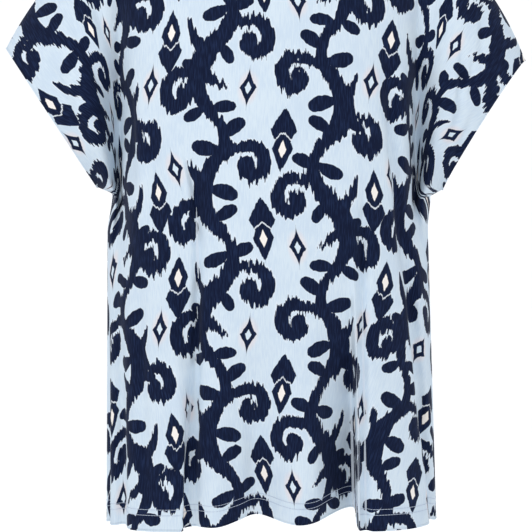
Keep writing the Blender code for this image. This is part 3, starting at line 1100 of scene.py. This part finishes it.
@dataclass(frozen=True)
class Thread:
    """Matt polyester sewing thread with a fine twist."""

    name: str = "hem_thread"
    colour: Colour = from_srgb(208, 219, 235)
    dark: Colour = from_srgb(176, 187, 208)
    roughness: float = 0.6
    twist: float = 2600.0
    unevenness: float = 1.5
    relief: Pair = (0.00005, 0.5)

    def made(self) -> Finish:
        """The finish as a material.

        Returns:
            The material.
        """
        sheet = NodeSheet(self.name)
        place = sheet.node("TexCoord", "Object", {})
        inputs = {"Vector": place, "Scale": self.twist, "Distortion": self.unevenness}
        wave = sheet.node("TexWave", "Fac", inputs, bands_direction="DIAGONAL")
        colour, normal = wave.blend(self.dark, self.colour), sheet.bump(wave, self.relief)
        return sheet.shaded({"Base Color": colour, "Roughness": self.roughness, "Normal": normal})


@dataclass(frozen=True)
class Paper:
    """The plain pale paper of the backdrop."""

    name: str = "paper"
    dark: Colour = (0.93, 0.93, 0.93, 1.0)
    light: Colour = (0.95, 0.95, 0.95, 1.0)
    grain: float = 3.0
    roughness: float = 0.9

    def made(self) -> Finish:
        """The finish as a material.

        Returns:
            The material.
        """
        sheet = NodeSheet(self.name)
        place = sheet.node("TexCoord", "Object", {})
        noise = sheet.node("TexNoise", "Fac", {"Vector": place, "Scale": self.grain})
        return sheet.shaded({"Base Color": noise.blend(self.dark, self.light), "Roughness": self.roughness})


def finished(name: str, shape: bmesh.types.BMesh, finish: Finish, slot: str) -> Piece:
    """Makes a piece of a shape, rides it on the part and gives it its finish.

    Args:
        name: The piece's name.
        shape: Its shape, which is freed.
        finish: Its material.
        slot: The record's material slot; not used.

    Returns:
        The piece.
    """
    mesh = bpy.data.meshes.new(name)
    shape.to_mesh(mesh)
    shape.free()
    mesh.shade_smooth()
    mesh.materials.append(finish)
    piece = bpy.data.objects.new(name, mesh)
    bpy.context.scene.collection.objects.link(piece)
    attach(piece, "root")
    mesh.calc_loop_triangles()
    LOG.info("%s: %d triangles", name, len(mesh.loop_triangles))
    return piece


def add_sheet(shape: bmesh.types.BMesh, points: Array, flip: bool = False) -> None:
    """Adds a grid to a shape and moves its points onto a net.

    Args:
        shape: The shape to add to.
        points: The net, a line of points for each row.
        flip: Whether the faces turn the other way.
    """
    tall, wide = points.shape[:2]
    made = bmesh.ops.create_grid(shape, x_segments=wide - 1, y_segments=tall - 1, size=1.0)
    for vert, place in zip(made["verts"], points.reshape(-1, 3)):
        vert.co = place
    if flip:
        faces = list({face for vert in made["verts"] for face in vert.link_faces})
        bmesh.ops.reverse_faces(shape, faces=faces)


@dataclass
class RingPiece:
    """A printed piece of lines of points that each run round in a ring, with one point at both ends."""

    name: str
    net: Array
    flat: Array
    slot: str = "printed_jersey"
    thick: float = 0.0
    merge: float = 1e-6
    off_rows: float = 0.5

    def built(self, printer: Printer) -> Piece:
        """Builds the piece, and thickens it unless its lines close a section of their own.

        Args:
            printer: Lays the print, by the points' flat places.

        Returns:
            The piece.
        """
        shape = bmesh.new()
        add_sheet(shape, self.net)
        layer = shape.verts.layers.float_vector.new("flat")
        for vert, place in zip(shape.verts, self.flat.reshape(-1, 2)):
            vert[layer] = (*place, 0.0)
        bmesh.ops.remove_doubles(shape, verts=shape.verts, dist=self.merge)
        bmesh.ops.recalc_face_normals(shape, faces=shape.faces)
        if self.thick > 0.0:
            bmesh.ops.solidify(shape, geom=shape.faces[:], thickness=self.thick)
        piece = finished(self.name, shape, printer.finish, self.slot)
        kept = piece.data.attributes["flat"]
        count = len(kept.data)
        places = np.zeros(3 * count, np.float32)
        kept.data.foreach_get("vector", places)
        piece.data.attributes.remove(kept)
        cloth = places.astype(float).reshape(-1, 3)[:, :2]
        printer.lay(piece.data, cloth, np.full(count, self.off_rows), np.full(count, Face.PRINTED.value))
        return piece


@dataclass
class Panel:
    """The front or the back: one wall of cloth from the neckline, shoulders and cuffs down to the hem.

    Sizes are in metres or are counts, apart from places along the net's rows and shares.
    """

    cut: PanelCut
    wall: float = 0.0015
    neck_columns: int = 46
    chest_columns: int = 44
    arm_columns: int = 60
    sleeve_rows: int = 112
    underarm_rows: int = 8
    body_rows: int = 128
    relaxed_row: float = 0.5
    sample_columns: int = 161
    sample_rows: int = 43
    first_sample: float = 0.2
    ellipse_steps: int = 40
    groove: float = 0.0008
    groove_shares: tuple[float, ...] = (1.0, 0.35)
    hem_row_height: float = 0.0172
    level_row: float = 0.8
    body_row: float = 2.15
    flat_sleeve: float = 0.20
    sleeve_regained: float = 0.85
    regained_rows: Pair = (0.9, 2.1)
    squeezed: float = 0.55
    overarm_slope: float = 0.34
    flat_size: Pair = (0.756, 0.735)

    def __post_init__(self) -> None:
        """Works out the net, the way that it faces and its places on the flat cloth."""
        self.form = WornForm(self.cut)
        self.column, self.row = self.places()
        self.points = self.form.creased(self.form.net(self.column, self.row), self.column)
        self.facing = self.form.facings(self.points)
        self.rows = self.row[:, 0]
        down = running_length(self.points, 0)
        self.above_hem = down[-1] - down
        self.cloth = np.stack([self.flat_across(), self.flat_top() - down], axis=-1) + self.cut.print_at

    def places(self) -> tuple[Array, Array]:
        """The columns and rows of the net's points, closer together where the cloth is more folded.

        Along the neckline the columns are even along its curve, and they spread from there down.

        Returns:
            The columns and the rows, as two-way arrays.
        """
        stretches = enumerate((self.sleeve_rows, self.underarm_rows, self.body_rows))
        spread = (np.linspace(i, i + 1.0, count + 1)[1:] for i, count in stretches)
        row = np.concatenate([[0.0], *spread])[:, None]

        end, fold = self.form.neck_end(), self.form.fold_column
        table = end * np.sin(np.linspace(0.0, QUARTER, self.form.curve_steps))
        curve = np.stack(self.form.chest(table[None], np.zeros((1, self.form.curve_steps))), axis=-1)
        length = running_length(curve, 1)[0]
        at_neck = np.interp(np.linspace(0.0, length[-1], self.neck_columns + 1), length, table)

        halves = []
        for sign in (-1, 1):
            neck = self.spaced(sign, 0.0, end, self.neck_columns)
            neck = at_neck + (neck - at_neck) * smooth(0.0, self.relaxed_row, row)
            chest = self.spaced(sign, end, fold, self.chest_columns)[1:]
            outer = np.concatenate([chest, self.spaced(sign, fold, 1.0, self.arm_columns)[1:]])
            halves.append(np.concatenate([neck, np.broadcast_to(outer, (len(row), len(outer)))], axis=1))
        column = np.concatenate([-halves[0][:, :0:-1], halves[1]], axis=1)
        return column, np.broadcast_to(row, column.shape)

    def spaced(self, sign: int, start: float, end: float, count: int) -> Array:
        """Columns of one side from start to end, closer together where the cloth is more folded.

        Args:
            sign: -1 on the left, 1 on the right.
            start: The first column.
            end: The last column.
            count: How many steps lie between.

        Returns:
            The columns, without their sign.
        """
        table = np.linspace(start, end, self.sample_columns)
        rows = np.linspace(self.first_sample, 3.0, self.sample_rows)[:, None]
        column, row = np.broadcast_arrays(table, rows)
        points = self.form.net(sign * column, row)[:, ::sign]
        points = self.form.creased(points, column)[:, ::sign]
        need = np.mean(np.linalg.norm(np.diff(points, axis=1), axis=-1) ** 4, axis=0) ** 0.25
        total = np.concatenate([[0.0], np.cumsum(need)])
        return np.interp(np.linspace(0.0, total[-1], count + 1), total, table)

    def flat_across(self) -> Array:
        """How far from the middle each point lies, across the cloth before it was worn.

        Along the neckline only steps sideways count, and steps front to back come in further down. On the
        sleeves whole steps count. What a worn sleeve lacks of its flat length is added next to its fold.

        Returns:
            Metres, below 0 on the left.
        """
        form, steps = self.form, np.diff(self.points, axis=1)
        middle = (self.column[:, 1:] + self.column[:, :-1]) / 2.0
        row = self.row[:, 1:]
        on_arm = np.abs(middle) > form.fold_column
        chest = np.hypot(steps[..., 0], smooth(0.0, self.level_row, row) * steps[..., 1])
        arm = np.linalg.norm(steps, axis=-1)
        out = (np.abs(middle) - form.fold_column) / (1.0 - form.fold_column)
        by_fold = np.where(on_arm, arm * (1.0 - smooth(0.0, self.squeezed, out)), 0.0)
        for side in (middle < 0.0, middle > 0.0):
            real = np.sum(np.where(on_arm & side, arm, 0.0), axis=1, keepdims=True)
            lacking = self.sleeve_regained * np.maximum(self.flat_sleeve - real, 0.0)
            extra = lacking * (1.0 - smooth(*self.regained_rows, row[:, :1]))
            part = np.where(side, by_fold, 0.0)
            arm = arm + extra * part / np.sum(part, axis=1, keepdims=True)
        low = smooth(2.0, self.body_row, row)
        body = np.hypot(steps[..., 0], steps[..., 1])
        across = np.where(on_arm, arm * (1.0 - low) + body * low, chest)
        u = np.concatenate([np.zeros((len(row), 1)), np.cumsum(across, axis=1)], axis=1)
        return u - u[:, u.shape[1] // 2, None]

    def flat_top(self) -> Array:
        """The height of the panel's top edge on the cloth before it was worn, from the shoulder's top.

        Returns:
            Metres, for each column of the net.
        """
        form, column = self.form, np.abs(self.column[0])
        on_chest = np.minimum(column, form.fold_column)
        x_top = form.top_across(on_chest)
        line = form.shoulder_line(x_top)
        depth = self.cut.chest_depth * form.forward(column * QUARTER)
        turns = form.first_angle(on_chest) * np.linspace(0.0, 1.0, self.ellipse_steps)[:, None]
        deep = np.diff(depth * np.sin(turns), axis=0)
        tall = np.diff((line - form.underarm_z) * np.cos(turns), axis=0)
        out_on_arm = np.maximum(np.abs(self.flat_across()[0]) - form.shoulder_half, 0.0)
        return line - np.sum(np.hypot(deep, tall), axis=0) - self.overarm_slope * out_on_arm

    def outer(self) -> Array:
        """The outer face, with its sewn edges drawn in to make the grooves of the seams.

        Returns:
            A point for each place of the net.
        """
        points = self.points.copy()
        on_shoulder = np.abs(self.column[0]) >= self.form.neck_end() - SLACK
        sewn = self.rows >= 1.0
        for step, share in enumerate(self.groove_shares):
            drawn = self.groove * share * self.facing
            points[step, on_shoulder] -= drawn[step, on_shoulder]
            points[sewn, step] -= drawn[sewn, step]
            points[sewn, -1 - step] -= drawn[sewn, -1 - step]
        return points

    def built(self, printer: Printer) -> Piece:
        """Builds the panel and lays the print on it. The inner face has every second row and column.

        Args:
            printer: Lays the print.

        Returns:
            The piece.
        """
        outer = self.outer()
        inner = (outer - self.wall * self.facing)[::2, ::2]
        turned = self.cut.facing > 0.0
        shape = bmesh.new()
        add_sheet(shape, outer, turned)
        add_sheet(shape, inner, not turned)
        bmesh.ops.bridge_loops(shape, edges=[edge for edge in shape.edges if edge.is_boundary])
        bmesh.ops.recalc_face_normals(shape, faces=shape.faces)
        piece = finished(self.cut.name + "_panel", shape, printer.finish, "printed_jersey")
        cloth = np.concatenate([self.cloth.reshape(-1, 2), self.cloth[::2, ::2].reshape(-1, 2)])
        above = np.concatenate([self.above_hem.ravel(), self.above_hem[::2, ::2].ravel()])
        face = np.repeat([Face.PRINTED.value, Face.INSIDE.value], [outer.size // 3, inner.size // 3])
        printer.lay(piece.data, cloth, above - self.hem_row_height, face)
        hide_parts(self.cut.name)
        return piece

    def at(self, column: Array, row: Array) -> tuple[Array, Array]:
        """Points on the outer face at places of the net, and the way it faces there.

        Args:
            column: The columns.
            row: The rows, of the same shape.

        Returns:
            The points and the unit vectors.
        """
        low = np.clip(np.searchsorted(self.rows, row, side="right") - 1, 0, len(self.rows) - 2)
        share = ((row - self.rows[low]) / (self.rows[low + 1] - self.rows[low]))[:, None]
        found = []
        for net in (self.points, self.facing):
            above, below = self.along_rows(net, column, low), self.along_rows(net, column, low + 1)
            found.append(above + (below - above) * share)
        return found[0], unit(found[1])

    def along_rows(self, net: Array, column: Array, index: Array) -> Array:
        """The net's values at columns of its rows of these numbers."""
        return np.array([
            [np.interp(c, self.column[i], values) for values in net[i].T] for c, i in zip(column, index)
        ])

    def flat_at(self, column: Array, row: Array) -> Array:
        """Where places of the net lie on the printed cloth, to the nearest row below them."""
        index = np.clip(np.searchsorted(self.rows, row), 0, len(self.rows) - 1)
        return self.along_rows(self.cloth, column, index)

    def hem_line(self, height: float, count: int) -> tuple[Array, Array]:
        """Places on the net at a height above the hem, from its left edge to its right.

        Args:
            height: Metres above the hem along the cloth.
            count: How many places.

        Returns:
            Their columns and rows.
        """
        length = running_length(self.points[-1:], 1)[0]
        column = np.interp(np.linspace(0.0, length[-1], count), length, self.column[-1])
        at_net = np.array([np.interp(height, above, self.rows[::-1]) for above in self.above_hem[::-1].T])
        return column, np.interp(column, self.column[-1], at_net)

    def cuff_line(self, sign: int, depth: float, count: int) -> tuple[Array, Array]:
        """Places on the net inside a cuff's edge, from the overarm seam down to the seam under the sleeve.

        Args:
            sign: -1 for the left cuff, 1 for the right.
            depth: Metres from the cuff's edge along the cloth.
            count: How many places.

        Returns:
            Their columns and rows.
        """
        order = slice(None, None, -sign)
        inside = running_length(self.points[:, order], 1)
        down = np.flatnonzero(self.rows <= 1.0)
        column = np.array([np.interp(depth, inside[i], self.column[i, order]) for i in down])
        under = np.flatnonzero((self.rows >= 1.0) & (self.rows <= 2.0))
        seam = running_length(self.points[under, order][:, :1], 0)[:, 0]
        column = np.append(column, sign)
        row = np.append(self.rows[down], np.interp(depth, seam, self.rows[under]))
        path = running_length(self.at(column, row)[0], 0)
        even = np.linspace(0.0, path[-1], count)
        return np.interp(even, path, column), np.interp(even, path, row)


@dataclass
class Turning:
    """A hem's turned-up edge: it rolls under the cut edge and lies on the inside, up past the stitches.

    The roll has (inwards, outwards) steps in millimetres from the edge.
    """

    name: str
    wall: float = 0.0015
    lift: float = 0.0011
    thick: float = 0.0008
    roll: tuple[Pair, ...] = ((0.6, 0.2), (-0.4, 0.4), (-1.0, 0.0), (-1.2, -0.7), (-0.9, -1.5))
    roll_step: float = 0.0006

    def built(self, rings: list[tuple[Array, ...]], printer: Printer) -> Piece:
        """Builds the turning from rings of points at growing distances from the edge.

        Args:
            rings: For the edge and for each ring inside it: the points, the way they face, and their places
                on the flat cloth.
            printer: Lays the print.

        Returns:
            The piece.
        """
        edge, facing, cloth = rings[0]
        away = unit(edge - rings[1][0])
        rows = [edge - inward * MM * away + outward * MM * facing for inward, outward in self.roll]
        flats = [cloth - np.array([0.0, number * self.roll_step]) for number in range(len(self.roll))]
        for points, face, place in rings[1:]:
            rows.append(points - (self.wall + self.lift) * face)
            flats.append(cloth - (place - cloth) * np.array([-1.0, 1.0]))
        piece = RingPiece(self.name, closed(np.stack(rows)), closed(np.stack(flats)), thick=self.thick)
        return piece.built(printer)


@dataclass
class Neckband:
    """The folded band round the neck, cut from the same cloth. It leans in from the neckline as it rises."""

    height: float = 0.015
    thick: float = 0.0022
    gap: float = 0.0002
    puff: float = 0.0004
    profile_points: int = 18
    roundness: float = 0.35
    lean_side: float = math.radians(42)
    lean_middle: float = math.radians(62)
    seam_rise: float = 0.9
    print_from: float = 0.31

    def built(self, front: Panel, back: Panel, printer: Printer) -> Piece:
        """Builds the band along the neckline of both panels.

        Args:
            front: The front panel.
            back: The back panel.
            printer: Lays the print.

        Returns:
            The piece.
        """
        edge, rise, face = (ring_of(a, b) for a, b in zip(self.rising(front), self.rising(back)))
        for index in (0, 2 * front.neck_columns):
            rise[index, 1] = 0.0
            face[index] = unit(np.array([math.copysign(1.0, edge[index, 0]), 0.0, self.seam_rise]))
        rise = unit(rise)
        turns = np.linspace(0.0, math.tau, self.profile_points + 1)
        along = self.height / 2.0 * (1.0 - self.squared(np.cos(turns)))
        bulge = self.thick / 2.0 + self.puff * np.sin(math.pi * along / self.height)
        out = bulge * self.squared(np.sin(turns)) - self.thick / 2.0
        net = closed(np.stack([edge + (self.gap + a) * rise + o * face for a, o in zip(along, out)]))
        around = running_length(net[:1], 1)
        flat = np.stack(np.broadcast_arrays(along[:, None] + self.print_from, around), axis=-1)
        piece = RingPiece("neck_band", net, flat, "neckband_jersey").built(printer)
        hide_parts("neckband")
        return piece

    def squared(self, value: Array) -> Array:
        """A sine or cosine that is nearer to 1 or -1, as the profile of a flat band needs it."""
        return np.sign(value) * np.abs(value) ** self.roundness

    def rising(self, panel: Panel) -> tuple[Array, Array, Array]:
        """How the band stands on the neckline of a panel.

        Args:
            panel: The panel.

        Returns:
            For each point of the neckline: the point, the way the band rises from it, and the way it faces.
        """
        on_neck = np.abs(panel.column[0]) <= panel.form.neck_end() + SLACK
        edge = panel.points[0, on_neck]
        along = unit(np.gradient(edge, axis=0))
        level = np.stack([-along[:, 1], along[:, 0], np.zeros(len(along))], axis=-1)
        level = unit(level * -panel.cut.facing)
        middle = 1.0 - np.abs(edge[:, 0:1]) / panel.form.neck_half
        lean = self.lean_side + (self.lean_middle - self.lean_side) * smooth(0.0, 1.0, middle)
        rise = level * np.cos(lean) + np.array([0.0, 0.0, 1.0]) * np.sin(lean)
        rise = unit(rise - np.sum(rise * along, axis=-1, keepdims=True) * along)
        return edge, rise, unit(np.cross(rise, along) * panel.cut.facing)


@dataclass
class Stitching:
    """Rows of machine stitches in one piece. A stitch's cap sizes are shares of its radius or its length."""

    name: str
    length: float = 0.0031
    gap: float = 0.0005
    radius: float = 0.00030
    proud: float = 0.00022
    sides: int = 6
    cap_inset: float = 0.45
    cap_out: float = 1.12
    cap_dip: float = 0.5
    straight: float = 0.9

    def one(self) -> bpy.types.Mesh:
        """A single stitch along X, thinner at its ends.

        Returns:
            Its mesh.
        """
        shape = bmesh.new()
        bmesh.ops.create_cone(
            shape, cap_ends=True, segments=self.sides, radius1=self.radius, radius2=self.radius, depth=1.0,
            matrix=Matrix.Rotation(QUARTER, 4, "Y"),
        )
        caps = [face for face in shape.faces if len(face.verts) == self.sides]
        bmesh.ops.inset_region(shape, faces=caps, thickness=self.radius * self.cap_inset)
        for vert in (vert for cap in caps for vert in cap.verts):
            vert.co.x *= self.cap_out
            vert.co.z -= self.radius * self.cap_dip
        mesh = bpy.data.meshes.new(self.name + "_one")
        shape.to_mesh(mesh)
        shape.free()
        return mesh

    def built(self, rings: list[tuple[Array, ...]], finish: Finish) -> Piece:
        """Sews rows of stitches along closed rings.

        Args:
            rings: For each row, its points and the way the cloth faces there.
            finish: The thread's material.

        Returns:
            The piece.
        """
        one = self.one()
        shape = bmesh.new()
        for ring in rings:
            points, facing = (np.concatenate([values, values[:1]]) for values in ring)
            length = running_length(points, 0)
            count = int(length[-1] / (self.length + self.gap))
            pitch = length[-1] / count
            for start in pitch * np.arange(count):
                end = start + pitch - self.gap
                a, b, up = (np.array([np.interp(s, length, axis) for axis in values.T])
                            for s, values in ((start, points), (end, points), ((start + end) / 2, facing)))
                across = unit(b - a)
                up = unit(up - np.dot(up, across) * across)
                size = float(np.linalg.norm(b - a)) * self.straight
                place = Matrix(np.column_stack([across * size, np.cross(up, across), up]).tolist()).to_4x4()
                place.translation = Vector(((a + b) / 2 + self.proud * up).tolist())
                before = len(shape.verts)
                shape.from_mesh(one)
                shape.verts.ensure_lookup_table()
                bmesh.ops.transform(shape, matrix=place, verts=shape.verts[before:])
        bpy.data.meshes.remove(one)
        return finished(self.name, shape, finish, "printed_jersey")


@dataclass
class Garment:
    """The whole top: two panels, the neckband, the turned hem and cuffs, and their sewing."""

    stitch_gap: float = 0.0064
    hem_points: int = 190
    hem_heights: tuple[float, ...] = (0.0, 0.004, 0.010, 0.017, 0.0255)
    cuff_points: int = 90
    cuff_depths: tuple[float, ...] = (0.0, 0.003, 0.007, 0.012, 0.0162)

    def __post_init__(self) -> None:
        """Works out the nets of both panels."""
        self.front, self.back = Panel(FRONT), Panel(BACK)

    def built(self) -> None:
        """Builds every piece."""
        printer = Printer(Repeat(), PrintedJersey().made())
        neck = Neckband().built(self.front, self.back, printer)
        panels = [panel.built(printer) for panel in (self.front, self.back)]
        hem = Turning("hem_turning").built([self.hem_ring(height) for height in self.hem_heights], printer)
        heights = (self.front.hem_row_height, self.front.hem_row_height + self.stitch_gap)
        stitches = Stitching("hem_stitches")
        stitches.built([self.hem_ring(height)[:2] for height in heights], Thread().made())
        for sign, side in ((-1, "left"), (1, "right")):
            rings = [self.cuff_ring(sign, depth) for depth in self.cuff_depths]
            Turning(side + "_cuff_turning").built(rings, printer)

    def hem_ring(self, height: float) -> tuple[Array, ...]:
        """A ring of places round the hem, at a height above its edge."""
        return self.ring(lambda panel: panel.hem_line(height, self.hem_points))

    def cuff_ring(self, sign: int, depth: float) -> tuple[Array, ...]:
        """A ring of places round the left (-1) or right (1) cuff, at a depth inside its edge."""
        return self.ring(lambda panel: panel.cuff_line(sign, depth, self.cuff_points))

    def ring(self, line: Callable[[Panel], tuple[Array, Array]]) -> tuple[Array, ...]:
        """A ring of places on both panels.

        Args:
            line: Gives the columns and rows of a panel's part of it.

        Returns:
            The points, the way they face and their places on the printed cloth.
        """
        found = []
        for panel in (self.front, self.back):
            places = line(panel)
            found.append((*panel.at(*places), panel.flat_at(*places)))
        return tuple(ring_of(a, b) for a, b in zip(*found))


@dataclass(frozen=True)
class Lamp:
    """A soft square light, with its place, its width in metres and its power in watts."""

    name: str
    place: tuple[float, float, float]
    size: float
    power: float
    aim: tuple[float, float, float]

    def built(self) -> None:
        """Adds the light."""
        data = bpy.data.lights.new(self.name, "AREA")
        data.size = self.size
        data.energy = self.power
        lamp = bpy.data.objects.new(self.name, data)
        lamp.visible_camera = False
        stand(lamp, self.place, self.aim)


def stand(thing: Piece, place: tuple[float, ...], aim: tuple[float, ...]) -> None:
    """Puts a light or a camera into the scene.

    Args:
        thing: The light or the camera.
        place: Where it stands.
        aim: What it points at.
    """
    thing.location = place
    thing.rotation_euler = (Vector(aim) - Vector(place)).to_track_quat("-Z", "Y").to_euler()
    bpy.context.scene.collection.objects.link(thing)


@dataclass(frozen=True)
class Studio:
    """A pale floor and backdrop, soft lights and the camera at the photograph's viewing angle."""

    eye: tuple[float, float, float] = (-0.0035, -2.3004, -0.2658)
    look_at: tuple[float, float, float] = (-0.0035, 0.0, -0.4267)
    lens: float = 135.7
    sensor: float = 36.0
    sight: float = 60.0
    sky: Colour = (0.93, 0.96, 1.0, 1.0)
    sky_strength: float = 0.70
    floor_z: float = -1.42
    floor_half: float = 12.0
    floor_start: float = -8.0
    floor_end: float = 5.0
    floor_run: float = 22.0
    floor_bend: float = 3.0
    floor_steps: int = 60

    def built(self) -> None:
        """Sets up the whole studio."""
        self.backdrop()
        Lamp("key", (-1.6, -2.2, 1.3), 1.8, 31.0, self.look_at).built()
        Lamp("fill", (2.0, -2.2, 0.2), 2.2, 13.0, self.look_at).built()
        Lamp("rim", (0.8, 2.6, 1.4), 2.4, 12.0, self.look_at).built()
        Lamp("wall_light", (0.0, 2.2, 3.2), 3.0, 150.0, (0.0, 8.0, 0.0)).built()
        self.sky_light()
        self.camera()
        bpy.context.scene.view_settings.view_transform = "Standard"

    def backdrop(self) -> None:
        """A floor that curves up into a wall, far behind."""
        shape = bmesh.new()
        made = bmesh.ops.create_grid(shape, x_segments=2, y_segments=self.floor_steps, size=1.0)
        for vert in made["verts"]:
            run = (vert.co.y + 1.0) / 2.0 * self.floor_run + self.floor_start
            past = max(run - self.floor_end, 0.0)
            turn = min(past / self.floor_bend, QUARTER)
            y = min(run, self.floor_end) + self.floor_bend * math.sin(turn)
            up = self.floor_bend * (1.0 - math.cos(turn)) + max(past - self.floor_bend * QUARTER, 0.0)
            vert.co = (vert.co.x * self.floor_half, y, self.floor_z + up)
        mesh = bpy.data.meshes.new("floor")
        shape.to_mesh(mesh)
        shape.free()
        mesh.shade_smooth()
        mesh.materials.append(Paper().made())
        floor = bpy.data.objects.new("floor", mesh)
        bpy.context.scene.collection.objects.link(floor)

    def sky_light(self) -> None:
        """Even light from all round."""
        world = bpy.data.worlds.new("studio")
        world.use_nodes = True
        back = world.node_tree.nodes["Background"]
        back.inputs["Color"].default_value = self.sky
        back.inputs["Strength"].default_value = self.sky_strength
        bpy.context.scene.world = world

    def camera(self) -> None:
        """The camera, which sees the garment as the photograph does."""
        data = bpy.data.cameras.new("camera")
        data.sensor_width = self.sensor
        data.sensor_fit = "HORIZONTAL"
        data.lens = self.lens
        data.clip_end = self.sight
        camera = bpy.data.objects.new("camera", data)
        stand(camera, self.eye, self.look_at)
        bpy.context.scene.camera = camera


def main() -> None:
    """Builds the studio and the garment."""
    logging.basicConfig(level=logging.INFO, format="%(name)s %(message)s", stream=sys.stdout)
    for old in list(bpy.data.objects):
        bpy.data.objects.remove(old)
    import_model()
    Studio().built()
    Garment().built()
    bpy.context.view_layer.update()


if __name__ == "__main__":
    main()
